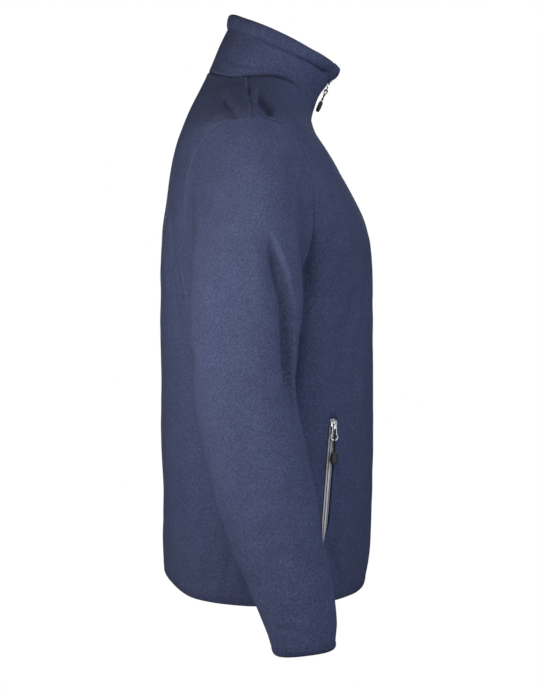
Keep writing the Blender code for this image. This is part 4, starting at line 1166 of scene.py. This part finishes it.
def zip_strip(inner, outer, top_outer, foot):
    """A strip beside the centre front, between two distances from it, up to the collar's top."""

    def place(u, v):
        body = v * (PANEL_ROWS + ZIP_COLLAR_ROWS) / PANEL_ROWS
        panel = np.maximum(even_rows(np.clip(body, 0, 1), True), foot)
        t = np.where(body <= 0, foot, np.where(body >= 1, 1.0, panel))
        neck = np.clip((body - 1) * PANEL_ROWS / ZIP_COLLAR_ROWS, 0, 1) * ZIP_TOP
        x = inner + u * (np.where(neck > TAPE_TOP, top_outer, outer) - inner)
        points, normals = skin(TORSO, t, angle_at_x(TORSO, t, np.abs(x)))
        above, above_normals = skin(COLLAR, neck, angle_at_x(COLLAR, neck, np.abs(x)))
        mitre = 1 + np.sum(normals * above_normals, axis=-1, keepdims=True)
        mitred = (normals + above_normals) / mitre
        high = (body > 1)[..., None]
        points, normals = np.where(high, above, points), np.where(high, above_normals, normals)
        normals = np.where(np.isclose(body, 1)[..., None], mitred, normals)
        mirror = np.where(x < 0, -1.0, 1.0)
        return mirrored(points, mirror), mirrored(normals, mirror)

    return place


def woven_of(name, dark, light, per_metre, roughness):
    """Narrow woven tape: a fine twill that follows the strip's own map."""
    made, tree, shader = shader_of(name, roughness)
    chart = coordinate(tree, "UV")
    twill = tree.nodes.new("ShaderNodeTexWave")
    twill.bands_direction = "DIAGONAL"
    twill.inputs["Scale"].default_value = per_metre
    twill.inputs["Distortion"].default_value = 0.6
    tree.links.new(chart, twill.inputs["Vector"])
    weave = twill.outputs["Fac"]
    colour = coloured(tree, weave, [(0.25, dark), (0.75, light)])
    tree.links.new(colour, shader.inputs["Base Color"])
    tree.links.new(bump_of(tree, weave, 0.0002, 0.6), shader.inputs["Normal"])
    return made


TAPE_WEAVE = woven_of("navy_tape", (0.020, 0.026, 0.060), (0.038, 0.047, 0.100), 420.0, 0.8)
NYLON_COLOURS = ((0.016, 0.021, 0.050), (0.028, 0.036, 0.078))
nylon = speckled("navy_nylon", 0.38, (700.0,), NYLON_COLOURS, (0.0001, 0.4))[0]

chain_place = zip_strip(-CHAIN_HALF, CHAIN_HALF, CHAIN_HALF, 0.1 * HEM_ROW)
net, normals = strip_net(chain_place, 4, ZIP_NET_ROWS, CHAIN_FRONT + CORE_SINK)
core = thickened(skinned("zip_chain_core", net, normals, TAPE_WEAVE), CHAIN_THICKNESS - CORE_SINK)
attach(core, "jacket")
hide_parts("zip_chain")
line, outs = strip_net(chain_place, 2, ZIP_NET_ROWS, CHAIN_FRONT + COIL_BAR[2])
spots = steps_along(line[:, 1], outs[:, 1], COIL_PITCH / 2)
turns = []
for number, spot in enumerate(spots):
    side = 1.0 if number % 2 else -1.0
    lean = Matrix.Rotation(side * math.radians(14), 4, "Z")
    turns.append(Matrix(spot.tolist()) @ Matrix.Translation((side * COIL_X, 0, 0)) @ lean)
bar = bmesh.new()
bmesh.ops.create_uvsphere(bar, u_segments=8, v_segments=5, radius=1.0)
bmesh.ops.scale(bar, verts=bar.verts, vec=COIL_BAR)
coil = repeated("zip_coil_turns", bar, turns, nylon)
bar.free()
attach(coil, "jacket")
tape_place = zip_strip(TAPE_INNER, TAPE_OUTER, ZIP_GAP - SEAM, 0.25 * HEM_ROW)
for name, side in SIDES:
    net, normals = strip_net(tape_place, 6, ZIP_NET_ROWS, WALL + 2 * SEAM, side)
    tape = thickened(skinned(f"zip_tape_woven_{name}", net, normals, TAPE_WEAVE), TAPE_THICKNESS)
    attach(tape, "jacket")
    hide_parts(f"zip_tape_{name}")

# Pocket zips. A reversed coil zip in silver grey lies in each front's slit, a little below the
# lips of the cloth: three pale lines of smooth tape and coil with dark gaps between them. The
# tape's outer edges are painted dark navy, as painted shadow that the cloth's lips cast on it.
POCKET_SINK = 0.0004
POCKET_THICKNESS = 0.0016
POCKET_COLUMNS = 28
POCKET_LENGTH = 0.158
silver_tape, tape_tree, tape_shader = shader_of("silver_grey_tape", 0.42)
tape_chart = coordinate(tape_tree, "UV")
tape_parts = tape_tree.nodes.new("ShaderNodeSeparateXYZ")
tape_tree.links.new(tape_chart, tape_parts.inputs["Vector"])
tape_colour_and_painted_shadow = coloured(
    tape_tree,
    tape_parts.outputs["X"],
    [
        # The dark stops at both ends are painted shadow: the cloth's lips shading the tape's edges.
        (0.00, (0.04, 0.04, 0.06)),
        (0.08, (0.06, 0.06, 0.09)),
        (0.14, (0.70, 0.70, 0.74)),
        (0.23, (0.70, 0.70, 0.74)),
        (0.29, (0.07, 0.07, 0.09)),
        (0.41, (0.07, 0.07, 0.09)),
        (0.46, (0.84, 0.84, 0.88)),
        (0.60, (0.80, 0.80, 0.84)),
        (0.66, (0.10, 0.10, 0.13)),
        (0.73, (0.12, 0.12, 0.16)),
        (0.78, (0.34, 0.34, 0.42)),
        (0.85, (0.28, 0.28, 0.36)),
        # painted shadow of the front lip, darkest at the tape's outer edge
        (0.91, (0.05, 0.05, 0.08)),
        (1.00, (0.03, 0.03, 0.05)),
    ],
)
tape_tree.links.new(tape_colour_and_painted_shadow, tape_shader.inputs["Base Color"])
ribs = tape_tree.nodes.new("ShaderNodeTexWave")
ribs.bands_direction = "Y"
ribs.inputs["Scale"].default_value = 300.0
tape_tree.links.new(tape_chart, ribs.inputs["Vector"])
tape_tree.links.new(bump_of(tape_tree, ribs.outputs["Fac"], 0.0002, 0.7), tape_shader.inputs["Normal"])
tape_shader.inputs["Specular IOR Level"].default_value = 0.6

for name, side in SIDES:
    place = pocket_strip(POCKET_HALF_WIDTH, 0.0)
    net, normals = strip_net(place, POCKET_COLUMNS, POCKET_ROWS, POCKET_SINK, side)
    across = np.abs(2 * np.linspace(0, 1, POCKET_COLUMNS + 1) - 1)[None, :]
    profile = -0.0006 * hump(across, 0.10) - 0.0018 * share(across, 0.72, 1.0)
    net = raised(net, normals, np.repeat(profile, POCKET_ROWS + 1, axis=0))
    strip = skinned(f"pocket_zip_tape_{name}", net, normals, silver_tape)
    layer = strip.data.uv_layers["UVMap"].data
    for loop, corner in zip(strip.data.loops, layer):
        row, column = divmod(loop.vertex_index, POCKET_COLUMNS + 1)
        corner.uv = (column / POCKET_COLUMNS, POCKET_LENGTH * row / POCKET_ROWS)
    thickened(strip, POCKET_THICKNESS)
    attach(strip, "jacket")
    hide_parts(f"pocket_zip_{name}")

# Sliders. Each zip has a cast metal slider, plated silver: a plate that narrows downwards, and a
# bridge that holds the pull's wire. A slider's own frame has x across the zip, y up and z out.
SLIDER_SEAT = 0.0006
PLATE_THICKNESS = 0.0024
SLIDER_OUTLINE = [  # of the plate's right half, from its top
    (0.0022, 0.0085),
    (0.0037, 0.0080),
    (0.0046, 0.0066),
    (0.0046, 0.0040),
    (0.0040, 0.0004),
    (0.0034, -0.0032),
]
BRIDGE_HALF = 0.0012
BRIDGE_WALL = 0.0011
WIRE = 0.00115  # radius of the pull's wire
PLAY = 0.00035
HINGE_HEIGHT = SLIDER_SEAT + PLATE_THICKNESS + PLAY + WIRE
POCKET_HINGE = (-0.1046, -0.4506)
POCKET_TURN = 18  # degrees that the slider is turned outwards, about the zip's line
POCKET_LIFT = 0.0012  # which keeps the turned plate's edge off the zip
POCKET_LEAN = 0.45  # how far the pull hangs along the zip's line (1) instead of straight down (0)
FRONT_HINGE = np.array([0.0, -0.10762, 0.00715])
FRONT_PULL = (0.0, 0.395, -0.9185)  # the way the front pull hangs off the collar

METAL_COLOURS = ((0.66, 0.66, 0.67), (0.82, 0.82, 0.83))
plated, plated_tree, plated_shader = speckled(
    "plated_metal", 0.27, (260.0, 4.0, 0.6), METAL_COLOURS, (0.00008, 0.5)
)
dull = plated_tree.nodes.new("ShaderNodeMapRange")
dull.inputs["To Min"].default_value = 0.20
dull.inputs["To Max"].default_value = 0.40
smears = noise_of(plated_tree, coordinate(plated_tree, "Object"), 900.0, 3.0)
plated_tree.links.new(smears, dull.inputs["Value"])
plated_tree.links.new(dull.outputs["Result"], plated_shader.inputs["Roughness"])
plated_shader.inputs["Metallic"].default_value = 1.0


def seat(point, normal, up):
    """A frame on the cloth with z along its normal and y as near to up as that allows."""
    z_axis = Vector(normal).normalized()
    y_axis = (Vector(up) - Vector(up).dot(z_axis) * z_axis).normalized()
    axes = Matrix((y_axis.cross(z_axis), y_axis, z_axis)).transposed().to_4x4()
    return Matrix.Translation(Vector(point)) @ axes


def slab(outline, axis, half, bevel):
    """A bmesh of a flat outline pushed out to both sides along an axis, with its edges rounded."""
    made = bmesh.new()
    face = made.faces.new([made.verts.new(Vector(corner) - half * Vector(axis)) for corner in outline])
    pushed = bmesh.ops.extrude_face_region(made, geom=[face], use_keep_orig=True)
    moved = [item for item in pushed["geom"] if isinstance(item, bmesh.types.BMVert)]
    bmesh.ops.translate(made, verts=moved, vec=2 * half * Vector(axis))
    bmesh.ops.recalc_face_normals(made, faces=made.faces)
    bmesh.ops.bevel(
        made, geom=made.edges[:], offset=bevel, segments=3, profile=0.5, affect="EDGES", material=-1
    )
    return made


def finished(name, solid, place, material):
    """An object from a bmesh, put in place by a matrix, with smooth faces."""
    bmesh.ops.transform(solid, matrix=place, verts=solid.verts)
    mesh = bpy.data.meshes.new(name)
    solid.to_mesh(mesh)
    solid.free()
    mesh.shade_smooth()
    mesh.set_sharp_from_angle(angle=math.radians(40))
    mesh.materials.append(material)
    return linked(name, mesh)


def slider(name, node, place):
    """A slider's plate and, on it, the bridge over the pull's wire, as one piece."""
    middle = SLIDER_SEAT + PLATE_THICKNESS / 2
    right = [(x, y, middle) for x, y in SLIDER_OUTLINE]
    left = [(-x, y, middle) for x, y in reversed(SLIDER_OUTLINE)]
    plate = slab(right + left, (0, 0, 1), PLATE_THICKNESS / 2, 0.0005)
    low, hole_top = SLIDER_SEAT + PLATE_THICKNESS - 0.0005, HINGE_HEIGHT + WIRE + PLAY
    hole, front_foot, back_foot = WIRE + PLAY, -WIRE - PLAY - BRIDGE_WALL, 0.0062
    arch = [
        (0, front_foot, low),
        (0, -hole, low),
        (0, -hole, hole_top),
        (0, hole, hole_top),
        (0, hole, low),
        (0, back_foot, low),
        (0, 0.0050, hole_top - 0.0012),
        (0, 0.0026, hole_top + BRIDGE_WALL),
        (0, front_foot + 0.0008, hole_top + BRIDGE_WALL),
        (0, front_foot, hole_top + BRIDGE_WALL - 0.0009),
    ]
    bridge = slab(arch, (1, 0, 0), BRIDGE_HALF, 0.00028)
    joined = bpy.data.meshes.new("bridge")
    bridge.to_mesh(joined)
    bridge.free()
    plate.from_mesh(joined)
    bpy.data.meshes.remove(joined)
    made = finished(name, plate, place, plated)
    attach(made, "jacket")
    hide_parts(node)
    return made


rows = np.linspace(0, 1, 2001)
line, outs = skin(COLLAR, rows, angle_at_x(COLLAR, rows, 0.0))
here = int(np.argmin(np.linalg.norm(line - FRONT_HINGE, axis=1)))
zip_seat = seat(FRONT_HINGE - outs[here] * HINGE_HEIGHT, outs[here], (0, 0, 1))
slider("zip_slider_cast", "zip_slider", zip_seat)
zip_hinge = (zip_seat @ Matrix.Translation((0, 0, HINGE_HEIGHT))).translation
hang = -Vector(FRONT_PULL).normalized()
hinges = {"zip_pull": seat(zip_hinge, Vector((1, 0, 0)).cross(hang), hang)}
points, normals = skin(TORSO, *torso_at(*POCKET_HINGE))
for name, side in SIDES:
    foot = Vector(mirrored(points[0] + normals[0] * (POCKET_LIFT - POCKET_SINK), side))
    line = Vector(mirrored(pocket_line[0] - pocket_line[-1], side)).normalized()
    turned = Matrix.Rotation(side * math.radians(POCKET_TURN), 3, line)
    out = turned @ Vector(mirrored(normals[0], side))
    slider(f"pocket_slider_cast_{name}", f"pocket_slider_{name}", seat(foot, out, line))
    up = Vector((0, 0, 1)).lerp(line, POCKET_LEAN)
    hinge = seat(foot, out, up) @ Matrix.Translation((0, 0, HINGE_HEIGHT))
    hinges[f"pocket_pull_{name}"] = hinge

# Pulls. Each slider carries a loop of plated wire that flares at its foot, a short ring of black
# braided cord through it, and a black rubber grip moulded over the cord's ends. The three parts
# swing together on the wire's bar.
LEG_X = 0.00275
FLARE_X = 0.0045
LOOP_LENGTH = 0.0175
CORD = 0.00075  # radius
KNOB = (0.0047, 0.0080, 0.0030)  # half sizes
KNOB_TOP = 0.0310
KNOB_BOXY = 0.62

BRAID_COLOURS = ((0.006, 0.006, 0.007), (0.024, 0.024, 0.025))
RUBBER_COLOURS = ((0.013, 0.013, 0.011), (0.024, 0.024, 0.020))
braid = speckled("black_braid", 0.85, (1800.0,), BRAID_COLOURS, (0.0003, 0.8), spread=0.15)[0]
rubber = speckled("black_rubber", 0.5, (500.0, 3.0), RUBBER_COLOURS, (0.00012, 0.5))[0]


def smooth_ring(corners, steps):
    """A closed Catmull-Rom curve through points."""
    corners = np.array(corners)
    padded = np.concatenate([corners[-1:], corners, corners[:2]])
    return table_at(padded, (1 + np.arange(0, len(corners), 1 / steps)) / (len(padded) - 1))


def wire(name, points, radius, place, material):
    """A closed tube through points of the pull's own frame."""
    curve = bpy.data.curves.new(name, "CURVE")
    curve.dimensions = "3D"
    curve.bevel_depth = radius
    curve.bevel_resolution = 4
    track = curve.splines.new("POLY")
    track.points.add(len(points) - 1)
    for spot, point in zip(track.points, points):
        spot.co = (*(place @ Vector(point)), 1.0)
    track.use_cyclic_u = True
    track.use_smooth = True
    curve.materials.append(material)
    return linked(name, curve)


def loop_points():
    """The wire's loop: a bar through the bridge, two legs, a flare and a rounded foot."""
    foot = -LOOP_LENGTH + WIRE
    flare = foot + FLARE_X - 0.0005
    corner = 0.0013
    half = [(0.0012, 0.0), (LEG_X - corner, 0.0), (LEG_X - 0.3 * corner, -0.3 * corner)]
    half += [(LEG_X, -corner), (LEG_X, -0.0045)]
    half += [(LEG_X, flare + 0.0048), (LEG_X + 0.0005, flare + 0.0034)]
    for degrees in (22, -2, -26, -50, -74):
        turn = math.radians(degrees)
        x = 0.0005 + (FLARE_X - 0.0005) * math.cos(turn)
        half.append((x, flare + (flare - foot) * math.sin(turn)))
    other = [(-x, y) for x, y in reversed(half)]
    return [(x, y, 0.0) for x, y in half + other]


def cord_points():
    """The cord's ring: round the loop's foot, then twisted once down to the grip."""
    bar_y = -LOOP_LENGTH + WIRE
    top = WIRE + CORD + PLAY
    joined_y, foot_y = bar_y - 0.0048, -KNOB_TOP + 2 * CORD + SEAM
    points = []
    for degrees in range(-20, 201, 20):
        turn = math.radians(degrees)
        points.append((0.0, bar_y + top * math.sin(turn), top * math.cos(turn)))
    down = [(math.pi * (1 + k / 4), joined_y + (foot_y - joined_y) * k / 4) for k in range(5)]
    points += [(CORD * math.sin(turn), y, CORD * math.cos(turn)) for turn, y in down]
    points.append((0.0, foot_y - CORD, 0.0))
    points += [(-CORD * math.sin(turn), y, -CORD * math.cos(turn)) for turn, y in reversed(down)]
    return points


for body, hinge in hinges.items():
    loop = wire(f"{body}_wire", smooth_ring(loop_points(), 5), WIRE, hinge, plated)
    ring_of_cord = wire(f"{body}_braid", smooth_ring(cord_points(), 4), CORD, hinge, braid)
    grip_form = bmesh.new()
    bmesh.ops.create_uvsphere(grip_form, u_segments=40, v_segments=24, radius=1.0)
    for vertex in grip_form.verts:
        vertex.co = boxy(np.array(vertex.co), KNOB_BOXY) * KNOB
    bmesh.ops.translate(grip_form, verts=grip_form.verts, vec=(0, -KNOB_TOP - KNOB[1], 0))
    grip = finished(f"{body}_grip", grip_form, hinge, rubber)
    for piece, node, slot in (
        (loop, "loop", "zip_metal"),
        (ring_of_cord, "cord", "cord"),
        (grip, "knob", "grip"),
    ):
        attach(piece, body)
        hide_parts(f"{body}_{node}")
